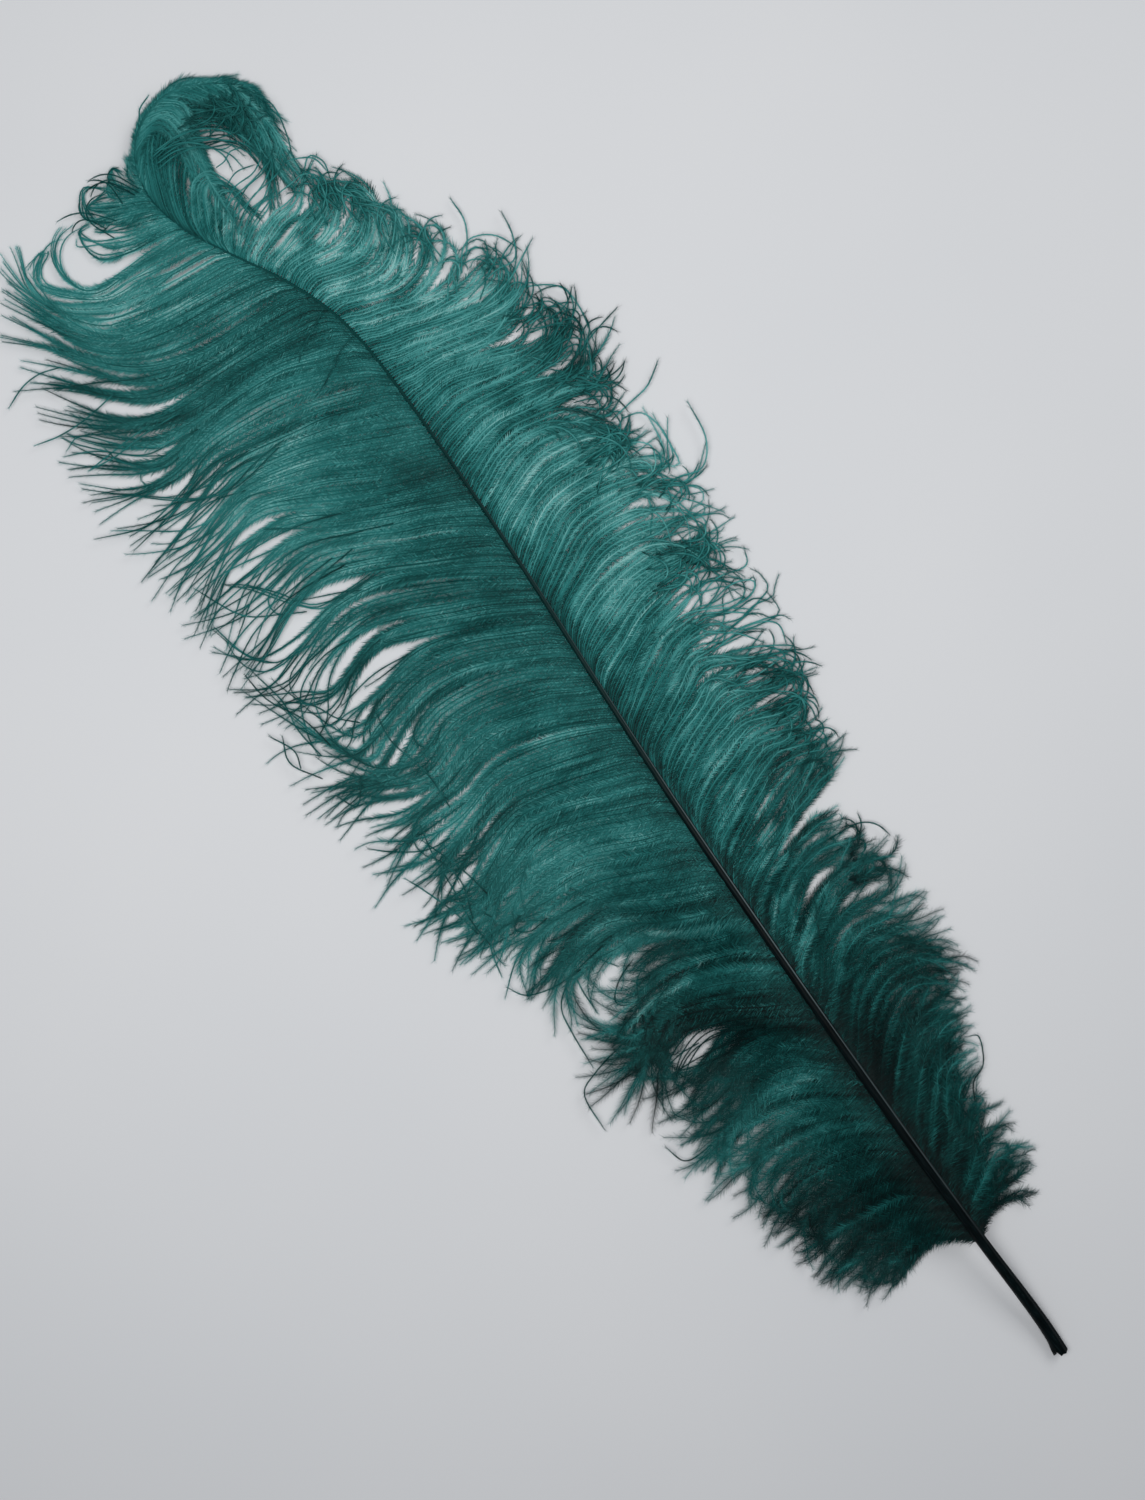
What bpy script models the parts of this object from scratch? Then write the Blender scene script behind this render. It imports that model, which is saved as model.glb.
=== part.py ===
# An ostrich plume lying on a table: the shaft, from its cut quill to its hooked tip,
# and the two vanes of barbs that grow from its sides.
# +Z is up, +Y runs from the cut quill to the head, and +X is to the right, seen from above.
# The origin lies on the table, under the middle of the plume.
# Lengths are in millimetres until a mesh is made.

import math

import bmesh
import bpy
from mathutils import Vector

MM = 0.001

# Length of the plume as it lies, from the cut quill to the top of its head
LENGTH = 578.0

# Clear space between the shaft and each vane
GAP = 0.35

# The shaft's centre line: across, along from the cut end, height over the table, and radius
SHAFT_ROUTE = (
    (1.6, 0.0, 2.72, 2.60),
    (2.7, 12.0, 4.6, 2.40),
    (3.2, 30.0, 8.2, 2.25),
    (3.4, 49.0, 11.6, 2.15),
    (4.2, 78.0, 14.6, 2.05),
    (5.3, 105.0, 15.8, 1.95),
    (7.6, 150.0, 16.5, 1.75),
    (10.6, 200.0, 16.4, 1.55),
    (14.0, 250.0, 15.8, 1.40),
    (18.5, 300.0, 14.8, 1.20),
    (23.3, 350.0, 13.2, 1.05),
    (26.9, 400.0, 11.4, 0.90),
    (28.7, 442.0, 9.8, 0.80),
    (27.2, 468.0, 8.8, 0.74),
    (20.6, 490.0, 8.0, 0.68),
    (10.6, 511.0, 7.3, 0.62),
    (2.2, 530.0, 6.8, 0.58),
    (-0.6, 546.0, 6.4, 0.55),
    (1.8, 557.0, 6.2, 0.52),
    (7.0, 566.0, 5.9, 0.50),
    (15.0, 572.0, 5.4, 0.48),
    (25.0, 574.3, 4.8, 0.46),
    (35.0, 572.8, 4.2, 0.44),
    (44.0, 568.0, 3.6, 0.42),
    (50.5, 562.0, 3.2, 0.40),
)
ROUTE_STEPS = 3
SHAFT_SIDE_STEPS = 3
SHAFT_SHARP_ANGLE = 50.0

# The hollow of the cut quill, and the split in its end, which is taller than it is wide
BORE_RADIUS = 1.5
BORE_DEPTH = 16.0
BORE_SIDES = 14
SPLIT_DEPTH = 2.4
SPLIT_WIDTH = 2.0
SPLIT_STRETCH = 2.6

# Thickness of a vane at the shaft and at the barb tips. Where the shaft is thin, the vane is
# only this much thicker than the shaft's radius.
ROOT_THICKNESS = 2.6
ROOT_OVER_RADIUS = 0.6
TIP_THICKNESS = 1.5

# The share of a barb's reach at which it comes down to the table, and the shares at which the
# vane has points
TOUCHDOWN = 0.62
VANE_COLUMNS = (0.0, 0.15, 0.32, 0.47, 0.62, 0.82, 1.0)

# Past this station the shaft bends into its hook, so the barb lines stand closer there
HOOK_START = 512.0
HOOK_SPACING = 3.5

# Locks of barbs from the quill to the head, which give each vane its outline. Each row holds
# how far along the shaft the lock grows from, where its tips end (across, along), and how deep
# the notch after it is, as a share of its reach.
LEFT_LOCKS = (
    (52, -14, 56, 0), (54, -33, 54, 0.12), (60, -45, 62, 0.15), (68, -50, 86, 0.12),
    (78, -57, 98, 0.15), (90, -57, 113, 0.08), (102, -65, 126, 0.10), (116, -69, 138, 0.15),
    (130, -68, 153, 0.40), (142, -72, 163, 0.10), (150, -80, 176, 0.22), (162, -68, 201, 0.35),
    (184, -72, 216, 0.20), (198, -80, 233, 0.20), (210, -96, 251, 0.15), (223, -95, 261, 0.18),
    (237, -101, 273, 0.20), (255, -101, 290, 0.22), (270, -96, 306, 0.20), (283, -96, 316, 0.12),
    (296, -97, 334, 0.12), (309, -97, 357, 0.15), (322, -102.5, 371, 0.12), (339, -97, 388, 0.25),
    (357, -95, 407, 0.30), (374, -90, 421, 0.15), (392, -97, 432, 0.12), (408, -98, 449, 0.20),
    (422, -95, 463, 0.22), (434, -91, 476, 0.25), (448, -89, 491, 0.20), (462, -89, 507, 0.20),
    (474, -88, 523, 0.18), (487, -78, 538, 0.15), (500, -70, 553, 0.15), (512, -57, 567, 0),
    (521, -45, 542, 0), (528, -30, 538, 0), (534, -34, 553, 0), (545, -24, 566, 0),
    (552, -13, 561, 0), (556, -8, 567, 0), (560, -3, 565, 0), (564, 0, 569, 0),
    (569, 4, 573, 0), (578, 13, 576, 0), (590, 25, 578, 0), (603, 38, 577, 0),
    (614, 49, 571, 0), (622, 56, 563, 0),
)
RIGHT_LOCKS = (
    (52, 12, 56, 0), (54, 30, 56, 0.20), (61, 37, 67, 0.20), (70, 38, 82, 0.15),
    (82, 45, 97, 0.15), (96, 51, 113, 0.12), (110, 59, 126, 0.05), (123, 66, 136, 0.10),
    (137, 70, 153, 0.15), (150, 72, 162, 0.18), (163, 68, 179, 0.12), (176, 68, 190, 0.10),
    (190, 66, 208, 0.40), (207, 82, 229, 0.10), (224, 80, 248, 0.08), (237, 86, 258, 0.05),
    (250, 88, 268, 0.18), (266, 91, 282, 0.15), (280, 91, 299, 0.05), (291, 94, 306, 0.10),
    (304, 102, 313, 0.12), (321, 101, 330, 0.10), (338, 99, 354, 0.06), (351, 98, 366, 0.12),
    (370, 94, 386, 0.06), (386, 96, 402, 0.08), (404, 101, 421, 0.10), (422, 102.5, 447, 0.12),
    (439, 98, 463, 0.20), (454, 78, 472, 0.12), (470, 70, 487, 0.15), (486, 65, 499, 0.15),
    (502, 59, 511, 0.20), (517, 52, 519, 0), (525, 35, 516, 0), (532, 25, 521, 0),
    (541, 22, 531, 0), (550, 22, 541, 0), (558, 25, 549, 0), (567, 30, 553, 0),
    (578, 35, 550, 0), (589, 39, 540, 0), (600, 43, 528, 0), (609, 49, 525, 0),
    (616, 53, 536, 0), (622, 57, 549, 0),
)

# How far the barbs bow towards the head, as a share of their reach, from the quill to the head
LEFT_BOW = (
    (52, 0.30), (130, 0.50), (210, 0.40), (322, 0.33), (410, 0.20), (448, 0.02),
    (474, -0.13), (500, -0.36), (512, -0.50), (528, 0.05), (534, -0.15), (545, 0.0), (622, 0.15),
)
RIGHT_BOW = (
    (52, 0.0), (90, 0.35), (130, 0.55), (207, 0.35), (266, 0.26), (321, 0.36), (370, 0.20),
    (422, -0.20), (454, -0.37), (486, -0.28), (517, 0.0), (541, 0.30), (567, 0.40), (622, 0.20),
)


def clear_scene():
    for obj in list(bpy.data.objects):
        bpy.data.objects.remove(obj, do_unlink=True)


def make_collection(name):
    collection = bpy.data.collections.new(name)
    bpy.context.scene.collection.children.link(collection)
    return collection


def make_material(name, colour, roughness):
    material = bpy.data.materials.new(name)
    material.use_nodes = True
    shader = material.node_tree.nodes["Principled BSDF"]
    shader.inputs["Base Color"].default_value = (*colour, 1.0)
    shader.inputs["Roughness"].default_value = roughness
    shader.inputs["Metallic"].default_value = 0.0
    return material


def read_table(table, position):
    """The value of a table of (position, value) pairs, on straight lines between its rows."""
    for (low, low_value), (high, high_value) in zip(table, table[1:]):
        if position <= high:
            share = max(0.0, (position - low) / (high - low))
            return low_value + share * (high_value - low_value)
    return table[-1][1]


def ease(share):
    share = min(1.0, max(0.0, share))
    return share * share * (3.0 - 2.0 * share)


def smooth_route(route, steps):
    """Points of a smooth curve through the route's own points, each with its radius."""
    rows = [Vector(row) for row in route]
    rows = [2 * rows[0] - rows[1]] + rows + [2 * rows[-1] - rows[-2]]
    points = []
    for before, start, end, after in zip(rows, rows[1:], rows[2:], rows[3:]):
        for step in range(steps):
            t = step / steps
            points.append(
                0.5 * (
                    2 * start
                    + (end - before) * t
                    + (2 * before - 5 * start + 4 * end - after) * t ** 2
                    + (3 * start - before - 3 * end + after) * t ** 3
                )
            )
    points.append(rows[-2])
    return points


class Shaft:
    """The shaft's centre line, read by the distance along it from the cut end."""

    def __init__(self, route):
        self.points = smooth_route(route, ROUTE_STEPS)
        self.stations = [0.0]
        for start, end in zip(self.points, self.points[1:]):
            step = math.hypot(end.x - start.x, end.y - start.y)
            self.stations.append(self.stations[-1] + step)

    def at(self, station):
        """Across, along, height and radius at a station."""
        for i, reached in enumerate(self.stations[1:]):
            if station <= reached:
                share = (station - self.stations[i]) / (reached - self.stations[i])
                return self.points[i].lerp(self.points[i + 1], share)
        return self.points[-1].copy()

    def direction(self, station):
        ahead, behind = self.at(station + 2.0), self.at(station - 2.0)
        return Vector((ahead.x - behind.x, ahead.y - behind.y)).normalized()


def placed(across, along, height):
    """A point of the plume in the scene, in metres."""
    return Vector((across * MM, (along - LENGTH / 2) * MM, height * MM))


def make_shaft(shaft, collection, cutters, material):
    """A tapered rod along the centre line, hollow and split at its cut end."""
    data = bpy.data.curves.new("shaft", "CURVE")
    data.dimensions = "3D"
    data.bevel_depth = MM
    data.bevel_resolution = SHAFT_SIDE_STEPS
    data.use_fill_caps = True
    spline = data.splines.new("POLY")
    spline.points.add(len(shaft.points) - 1)
    for point, row in zip(spline.points, shaft.points):
        point.co = (*placed(row.x, row.y, row.z), 1.0)
        point.radius = row.w
    rod = bpy.data.objects.new("shaft_rod", data)
    collection.objects.link(rod)

    mesh = bpy.data.meshes.new_from_object(rod.evaluated_get(bpy.context.evaluated_depsgraph_get()))
    body = bmesh.new()
    body.from_mesh(mesh)
    bmesh.ops.remove_doubles(body, verts=body.verts, dist=0.00001)
    body.to_mesh(mesh)
    body.free()
    mesh.name = "shaft"
    mesh.shade_smooth()
    mesh.set_sharp_from_angle(angle=math.radians(SHAFT_SHARP_ANGLE))
    mesh.materials.clear()
    mesh.materials.append(material)

    obj = bpy.data.objects.new("shaft", mesh)
    obj.matrix_world = rod.matrix_world.copy()
    collection.objects.link(obj)
    bpy.data.objects.remove(rod, do_unlink=True)

    end, inside = shaft.at(0.0), shaft.at(BORE_DEPTH)
    axis = placed(inside.x, inside.y, inside.z) - placed(end.x, end.y, end.z)
    turn = axis.to_track_quat("Z", "Y")

    # The bore stands half outside the cut, so that it opens the end.
    bpy.ops.mesh.primitive_cylinder_add(
        vertices=BORE_SIDES, radius=BORE_RADIUS * MM, depth=2 * BORE_DEPTH * MM,
        location=placed(end.x, end.y, end.z), rotation=turn.to_euler(),
    )
    bore = bpy.context.object
    bore.name = "quill_bore"

    # The split is a narrow spike, stretched across the cut end.
    bpy.ops.mesh.primitive_cone_add(
        vertices=3, radius1=SPLIT_WIDTH * MM, radius2=0.0, depth=2 * SPLIT_DEPTH * MM,
        location=placed(end.x, end.y, end.z), rotation=turn.to_euler(),
    )
    split = bpy.context.object
    split.name = "quill_split"
    split.scale = (1.0, SPLIT_STRETCH, 1.0)

    for cutter in (bore, split):
        for holder in list(cutter.users_collection):
            holder.objects.unlink(cutter)
        cutters.objects.link(cutter)
        cutter.hide_render = True
        cutter.display_type = "WIRE"
        cut = obj.modifiers.new(cutter.name, "BOOLEAN")
        cut.operation = "DIFFERENCE"
        cut.solver = "EXACT"
        cut.object = cutter
    return obj


def root_of(shaft, station, side):
    """Where the vane starts beside the shaft."""
    centre = shaft.at(station)
    along = shaft.direction(station)
    outwards = Vector((along.y, -along.x)) * side
    return Vector((centre.x, centre.y)) + outwards * (centre.w + GAP)


def lock_line(shaft, station, tip, bow, side):
    """A lock's course in plan: its root, the handle of its bend, and its tip."""
    root = root_of(shaft, station, side)
    reach = tip - root
    towards_head = Vector((-reach.y, reach.x)) * side
    return root, (root + tip) / 2 + towards_head * bow, tip


def point_on(line, share):
    root, handle, tip = line
    return root * (1 - share) ** 2 + handle * (2 * share * (1 - share)) + tip * share ** 2


def notch_line(shaft, station, line, following, length, side):
    """The course between two locks, which ends where the notch does."""
    root = root_of(shaft, station, side)
    handle = (line[0].lerp(line[1], length) + following[0].lerp(following[1], length)) / 2
    end = (point_on(line, length) + point_on(following, length)) / 2
    return root, handle, end


def vane_lines(shaft, locks, bows, side):
    """Each course that the vane's sheet runs over: its station, its line and its length."""
    lines = []
    for row, following in zip(locks, locks[1:] + locks[-1:]):
        station, tip, notch = row[0], Vector(row[1:3]), row[3]
        line = lock_line(shaft, station, tip, read_table(bows, station), side)
        lines.append((station, line, 1.0))
        gap, next_tip = following[0] - station, Vector(following[1:3])
        if notch:
            next_bow = read_table(bows, following[0])
            next_line = lock_line(shaft, following[0], next_tip, next_bow, side)
            length, middle = 1.0 - notch, station + gap / 2
            lines.append((middle, notch_line(shaft, middle, line, next_line, length, side), length))
        elif station >= HOOK_START:
            count = math.ceil(gap / HOOK_SPACING)
            for i in range(1, count):
                between = station + gap * i / count
                end = tip.lerp(next_tip, i / count)
                bow = read_table(bows, between)
                lines.append((between, lock_line(shaft, between, end, bow, side), 1.0))
    return lines


def make_vane(name, shaft, locks, bows, side, collection, material):
    """A thin sheet that falls from the shaft to the table and lies flat on it out to the tips.

    It is a loft over the courses of the locks, whose lengths and bends all differ.
    """
    mesh = bpy.data.meshes.new(name)
    body = bmesh.new()
    rings = []
    for station, line, length in vane_lines(shaft, locks, bows, side):
        centre = shaft.at(station)
        thickness = min(ROOT_THICKNESS, ROOT_OVER_RADIUS + centre.w)
        under, over = [], []
        for column in VANE_COLUMNS:
            point, reached = point_on(line, column), column * length
            low = (centre.z - thickness / 2) * (1.0 - ease(reached / TOUCHDOWN))
            high = low + thickness + (TIP_THICKNESS - thickness) * reached
            under.append(body.verts.new(placed(point.x, point.y, low)))
            over.append(body.verts.new(placed(point.x, point.y, high)))
        rings.append(under + over[::-1])
    for ring, following in zip(rings, rings[1:]):
        for i in range(len(ring)):
            j = (i + 1) % len(ring)
            body.faces.new((ring[i], ring[j], following[j], following[i]))
    body.faces.new(rings[0])
    body.faces.new(rings[-1][::-1])
    bmesh.ops.triangulate(body, faces=body.faces)
    bmesh.ops.recalc_face_normals(body, faces=body.faces)
    body.to_mesh(mesh)
    body.free()
    mesh.materials.append(material)
    obj = bpy.data.objects.new(name, mesh)
    collection.objects.link(obj)
    return obj


def main():
    clear_scene()
    plume = make_collection("ostrich_feather")
    cutters = make_collection("cutters")
    shaft = Shaft(SHAFT_ROUTE)
    make_shaft(shaft, plume, cutters, make_material("shaft", (0.006, 0.012, 0.014), 0.35))
    make_vane(
        "vane_left", shaft, LEFT_LOCKS, LEFT_BOW, -1, plume,
        make_material("vane_left", (0.012, 0.085, 0.080), 0.70),
    )
    make_vane(
        "vane_right", shaft, RIGHT_LOCKS, RIGHT_BOW, 1, plume,
        make_material("vane_right", (0.020, 0.125, 0.110), 0.70),
    )


main()
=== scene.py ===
import math

import bpy
import numpy as np
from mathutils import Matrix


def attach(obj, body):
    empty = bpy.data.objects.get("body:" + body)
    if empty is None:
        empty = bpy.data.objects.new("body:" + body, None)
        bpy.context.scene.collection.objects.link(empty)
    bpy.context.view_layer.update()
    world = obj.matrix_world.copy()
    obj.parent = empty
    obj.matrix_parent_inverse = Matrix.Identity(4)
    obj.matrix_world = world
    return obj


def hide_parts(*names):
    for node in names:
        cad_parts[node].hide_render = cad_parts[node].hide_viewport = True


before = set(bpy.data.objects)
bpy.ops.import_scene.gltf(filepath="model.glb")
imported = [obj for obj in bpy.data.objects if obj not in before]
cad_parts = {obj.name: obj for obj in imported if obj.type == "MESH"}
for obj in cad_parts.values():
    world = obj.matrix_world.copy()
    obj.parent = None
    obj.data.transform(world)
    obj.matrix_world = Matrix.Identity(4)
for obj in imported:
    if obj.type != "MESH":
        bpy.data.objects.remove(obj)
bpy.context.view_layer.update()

mm = 0.001
up = np.array([0.0, 0.0, 1.0])

# Plume coordinates are millimetres: x across, y along from the cut quill, z up from the table.
originAlong = 289.0  # y of the frame's origin
# Places below are where points seem to lie on the table, seen from this height over the middle.
seenFrom = 750.0
middle = np.array([-3.6, 288.7])


def toFrame(points):
    return (np.asarray(points, float) - (0, originAlong, 0)) * mm


def smoothstep(low, high, value):
    part = np.clip((value - low) / (high - low), 0, 1)
    return part * part * (3 - 2 * part)


def smoothLine(points, steps=8):
    # a curve through every point
    rows = np.array(points, float)
    rows = np.vstack([2 * rows[0] - rows[1], rows, 2 * rows[-1] - rows[-2]])
    t = (np.arange(steps) / steps)[:, None]
    parts = []
    for before, start, end, after in zip(rows, rows[1:], rows[2:], rows[3:]):
        parts.append(0.5 * (
            2 * start
            + (end - before) * t
            + (2 * before - 5 * start + 4 * end - after) * t ** 2
            + (3 * start - before - 3 * end + after) * t ** 3
        ))
    return np.vstack(parts + [rows[-2:-1]])


def evenly(line, count):
    # count + 1 points at equal distances along a line
    reached = np.concatenate([[0], np.cumsum(np.linalg.norm(np.diff(line, axis=0), axis=1))])
    wanted = np.linspace(0, reached[-1], count + 1)
    return np.stack([np.interp(wanted, reached, line[:, k]) for k in range(line.shape[1])], 1)


# Materials

def newMaterial(name):
    material = bpy.data.materials.new(name)
    material.use_nodes = True
    return material, material.node_tree.nodes, material.node_tree.links


def addNode(nodes, kind, **values):
    node = nodes.new(kind)
    for key, value in values.items():
        setattr(node, key, value)
    return node


def setRamp(node, stops):
    ramp = node.color_ramp
    while len(ramp.elements) > 1:
        ramp.elements.remove(ramp.elements[-1])
    ramp.elements[0].position = stops[0][0]
    ramp.elements[0].color = (*stops[0][1], 1)
    for position, colour in stops[1:]:
        ramp.elements.new(position).color = (*colour, 1)


barbDye = {
    "palest": 1.25,  # the tone that the last stop stands for
    "stops": [  # share of the palest tone, colour
        (0.0, (0.0006, 0.0075, 0.0080)), (0.2, (0.0016, 0.0300, 0.0290)), (0.4, (0.0062, 0.0950, 0.0900)),
        (0.6, (0.0290, 0.2500, 0.2420)), (0.8, (0.1300, 0.5000, 0.4850)), (1.0, (0.4400, 0.7900, 0.7700)),
    ],
    "patches": [(24, 1.0, 0.16), (95, 0.35, 0.19)],  # noise scale, share of it across the plume, depth
    "roughness": 0.5,
    "specular": 0.12,
    "sheen": 0.02,
    "sheenRoughness": 0.4,
    "glow": 0.3,  # share of light that a barb lets through
}


def makeBarbMaterial(name):
    material, nodes, links = newMaterial(name)
    shader = nodes["Principled BSDF"]
    tone = addNode(nodes, "ShaderNodeAttribute", attribute_name="tone")
    place = addNode(nodes, "ShaderNodeTexCoord")
    # tone plus patches of uneven dye
    total = tone.outputs["Fac"]
    for size, stretch, depth in barbDye["patches"]:
        drawn = addNode(nodes, "ShaderNodeMapping")
        drawn.inputs["Scale"].default_value = (stretch, 1, 1)
        links.new(place.outputs["Object"], drawn.inputs["Vector"])
        patches = addNode(nodes, "ShaderNodeTexNoise")
        patches.inputs["Scale"].default_value = size
        patches.inputs["Detail"].default_value = 4
        links.new(drawn.outputs["Vector"], patches.inputs["Vector"])
        spread = addNode(nodes, "ShaderNodeMath", operation="MULTIPLY_ADD")
        spread.inputs[1].default_value = depth
        spread.inputs[2].default_value = -depth / 2
        links.new(patches.outputs["Fac"], spread.inputs[0])
        added = addNode(nodes, "ShaderNodeMath", operation="ADD")
        links.new(total, added.inputs[0])
        links.new(spread.outputs[0], added.inputs[1])
        total = added.outputs[0]
    ramp = addNode(nodes, "ShaderNodeValToRGB")
    setRamp(ramp, barbDye["stops"])
    links.new(total, ramp.inputs["Fac"])
    links.new(ramp.outputs["Color"], shader.inputs["Base Color"])
    shader.inputs["Roughness"].default_value = barbDye["roughness"]
    shader.inputs["Specular IOR Level"].default_value = barbDye["specular"]
    shader.inputs["Sheen Weight"].default_value = barbDye["sheen"]
    shader.inputs["Sheen Roughness"].default_value = barbDye["sheenRoughness"]
    through = addNode(nodes, "ShaderNodeBsdfTranslucent")
    links.new(ramp.outputs["Color"], through.inputs["Color"])
    both = addNode(nodes, "ShaderNodeMixShader")
    both.inputs["Fac"].default_value = barbDye["glow"]
    links.new(shader.outputs[0], both.inputs[1])
    links.new(through.outputs[0], both.inputs[2])
    links.new(both.outputs[0], nodes["Material Output"].inputs["Surface"])
    return material


hornLook = {
    "streaks": [
        (0.35, (0.0008, 0.0022, 0.0026)), (0.6, (0.0020, 0.0060, 0.0070)), (0.75, (0.0100, 0.0180, 0.0200)),
    ],
    "dye": [(0.0, (0.0010, 0.018, 0.018)), (0.6, (0.0025, 0.045, 0.042)), (1.0, (0.0045, 0.062, 0.060))],
    "streakScale": 1400,
    "paintedHighlight": (0.19, 0.25, 0.26),  # painted highlight: the pale line along the shaft's lit flank, by the groove
    "cover": 1.6,  # how soon the dye hides the horn towards the tip
    "ior": 1.38,
    "specular": 0.1,
    "roughness": (0.28, 0.5),  # from the darkest streaks to the palest
    "bump": 0.35,
}


def makeHornMaterial(name):
    material, nodes, links = newMaterial(name)
    shader = nodes["Principled BSDF"]
    place = addNode(nodes, "ShaderNodeTexCoord")
    along = addNode(nodes, "ShaderNodeMapping")
    along.inputs["Scale"].default_value = (1.0, 0.05, 1.0)
    links.new(place.outputs["Object"], along.inputs["Vector"])
    streaks = addNode(nodes, "ShaderNodeTexNoise")
    streaks.inputs["Scale"].default_value = hornLook["streakScale"]
    streaks.inputs["Detail"].default_value = 5
    links.new(along.outputs["Vector"], streaks.inputs["Vector"])
    ramp = addNode(nodes, "ShaderNodeValToRGB")
    setRamp(ramp, hornLook["streaks"])
    links.new(streaks.outputs["Fac"], ramp.inputs["Fac"])
    # a painted highlight: a pale line along the shaft's lit flank
    paintedHighlight = addNode(nodes, "ShaderNodeAttribute", attribute_name="paintedHighlight")
    both = addNode(nodes, "ShaderNodeMix", data_type="RGBA")
    both.inputs["B"].default_value = (*hornLook["paintedHighlight"], 1)
    links.new(paintedHighlight.outputs["Fac"], both.inputs["Factor"])
    links.new(ramp.outputs["Color"], both.inputs["A"])
    # the dye shows towards the tip
    dyed = addNode(nodes, "ShaderNodeAttribute", attribute_name="dyed")
    dye = addNode(nodes, "ShaderNodeValToRGB")
    setRamp(dye, hornLook["dye"])
    links.new(dyed.outputs["Fac"], dye.inputs["Fac"])
    cover = addNode(nodes, "ShaderNodeMath", operation="MULTIPLY", use_clamp=True)
    cover.inputs[1].default_value = hornLook["cover"]
    links.new(dyed.outputs["Fac"], cover.inputs[0])
    ends = addNode(nodes, "ShaderNodeMix", data_type="RGBA")
    links.new(cover.outputs[0], ends.inputs["Factor"])
    links.new(both.outputs["Result"], ends.inputs["A"])
    links.new(dye.outputs["Color"], ends.inputs["B"])
    links.new(ends.outputs["Result"], shader.inputs["Base Color"])
    shader.inputs["IOR"].default_value = hornLook["ior"]
    shader.inputs["Specular IOR Level"].default_value = hornLook["specular"]
    gloss = addNode(nodes, "ShaderNodeMapRange")
    gloss.inputs["To Min"].default_value = hornLook["roughness"][0]
    gloss.inputs["To Max"].default_value = hornLook["roughness"][1]
    links.new(streaks.outputs["Fac"], gloss.inputs["Value"])
    links.new(gloss.outputs[0], shader.inputs["Roughness"])
    bump = addNode(nodes, "ShaderNodeBump")
    bump.inputs["Strength"].default_value = hornLook["bump"]
    bump.inputs["Distance"].default_value = 0.0003
    links.new(streaks.outputs["Fac"], bump.inputs["Height"])
    links.new(bump.outputs[0], shader.inputs["Normal"])
    return material


tableLook = {
    "side": 6.0,  # m
    "colours": [(0.3, (0.75, 0.765, 0.79)), (0.7, (0.78, 0.79, 0.81))],
    "roughness": 0.75,
    "specular": 0.2,
}


def makeTableMaterial(name):
    material, nodes, links = newMaterial(name)
    shader = nodes["Principled BSDF"]
    place = addNode(nodes, "ShaderNodeTexCoord")
    mottle = addNode(nodes, "ShaderNodeTexNoise")
    mottle.inputs["Scale"].default_value = 5
    links.new(place.outputs["Object"], mottle.inputs["Vector"])
    ramp = addNode(nodes, "ShaderNodeValToRGB")
    setRamp(ramp, tableLook["colours"])
    links.new(mottle.outputs["Fac"], ramp.inputs["Fac"])
    links.new(ramp.outputs["Color"], shader.inputs["Base Color"])
    shader.inputs["Roughness"].default_value = tableLook["roughness"]
    shader.inputs["Specular IOR Level"].default_value = tableLook["specular"]
    return material


# The shaft, from the cut quill to the hooked tip

shaftRoute = [  # x, y, z, radius in mm
    (1.6, 0, 2.72, 2.60), (2.7, 12, 4.6, 2.40), (3.2, 30, 8.2, 2.25), (3.4, 49, 11.6, 2.15),
    (4.2, 78, 14.6, 2.05), (5.3, 105, 15.8, 1.95), (7.6, 150, 16.5, 1.75), (10.6, 200, 16.4, 1.55),
    (14.0, 250, 15.8, 1.40), (18.5, 300, 14.8, 1.20), (23.3, 350, 13.2, 1.05), (26.9, 400, 11.4, 0.90),
    (28.7, 442, 9.8, 0.80), (27.2, 468, 8.8, 0.74), (20.6, 490, 8.0, 0.68), (10.6, 511, 7.3, 0.62),
    (2.2, 530, 6.8, 0.58), (-0.6, 546, 6.4, 0.55), (1.8, 557, 6.2, 0.52), (7.0, 566, 5.9, 0.50),
    (15.0, 572, 5.4, 0.48), (25.0, 574.3, 4.8, 0.46), (35.0, 572.8, 4.2, 0.44), (44.0, 568, 3.6, 0.42),
    (50.5, 562, 3.2, 0.40),
]
shaftLine = smoothLine(shaftRoute, 6)
shaftReached = np.concatenate([[0], np.cumsum(np.linalg.norm(np.diff(shaftLine[:, :2], axis=0), axis=1))])


def shaftAt(stations):
    # x, y, z, radius and the direction in plan, at distances along the shaft from the cut end
    def read(at):
        return np.stack([np.interp(at, shaftReached, shaftLine[:, k]) for k in range(4)], -1)
    stations = np.asarray(stations, float)
    ahead = (read(stations + 2) - read(stations - 2))[..., :2]
    return read(stations), ahead / np.linalg.norm(ahead, axis=-1, keepdims=True)


def seenAt(stations):
    # where on the shaft the places lie that seem to be at these distances
    place, ahead = shaftAt(stations)
    return stations + ((middle - place[..., :2]) * ahead).sum(-1) * place[..., 2] / seenFrom


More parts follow.
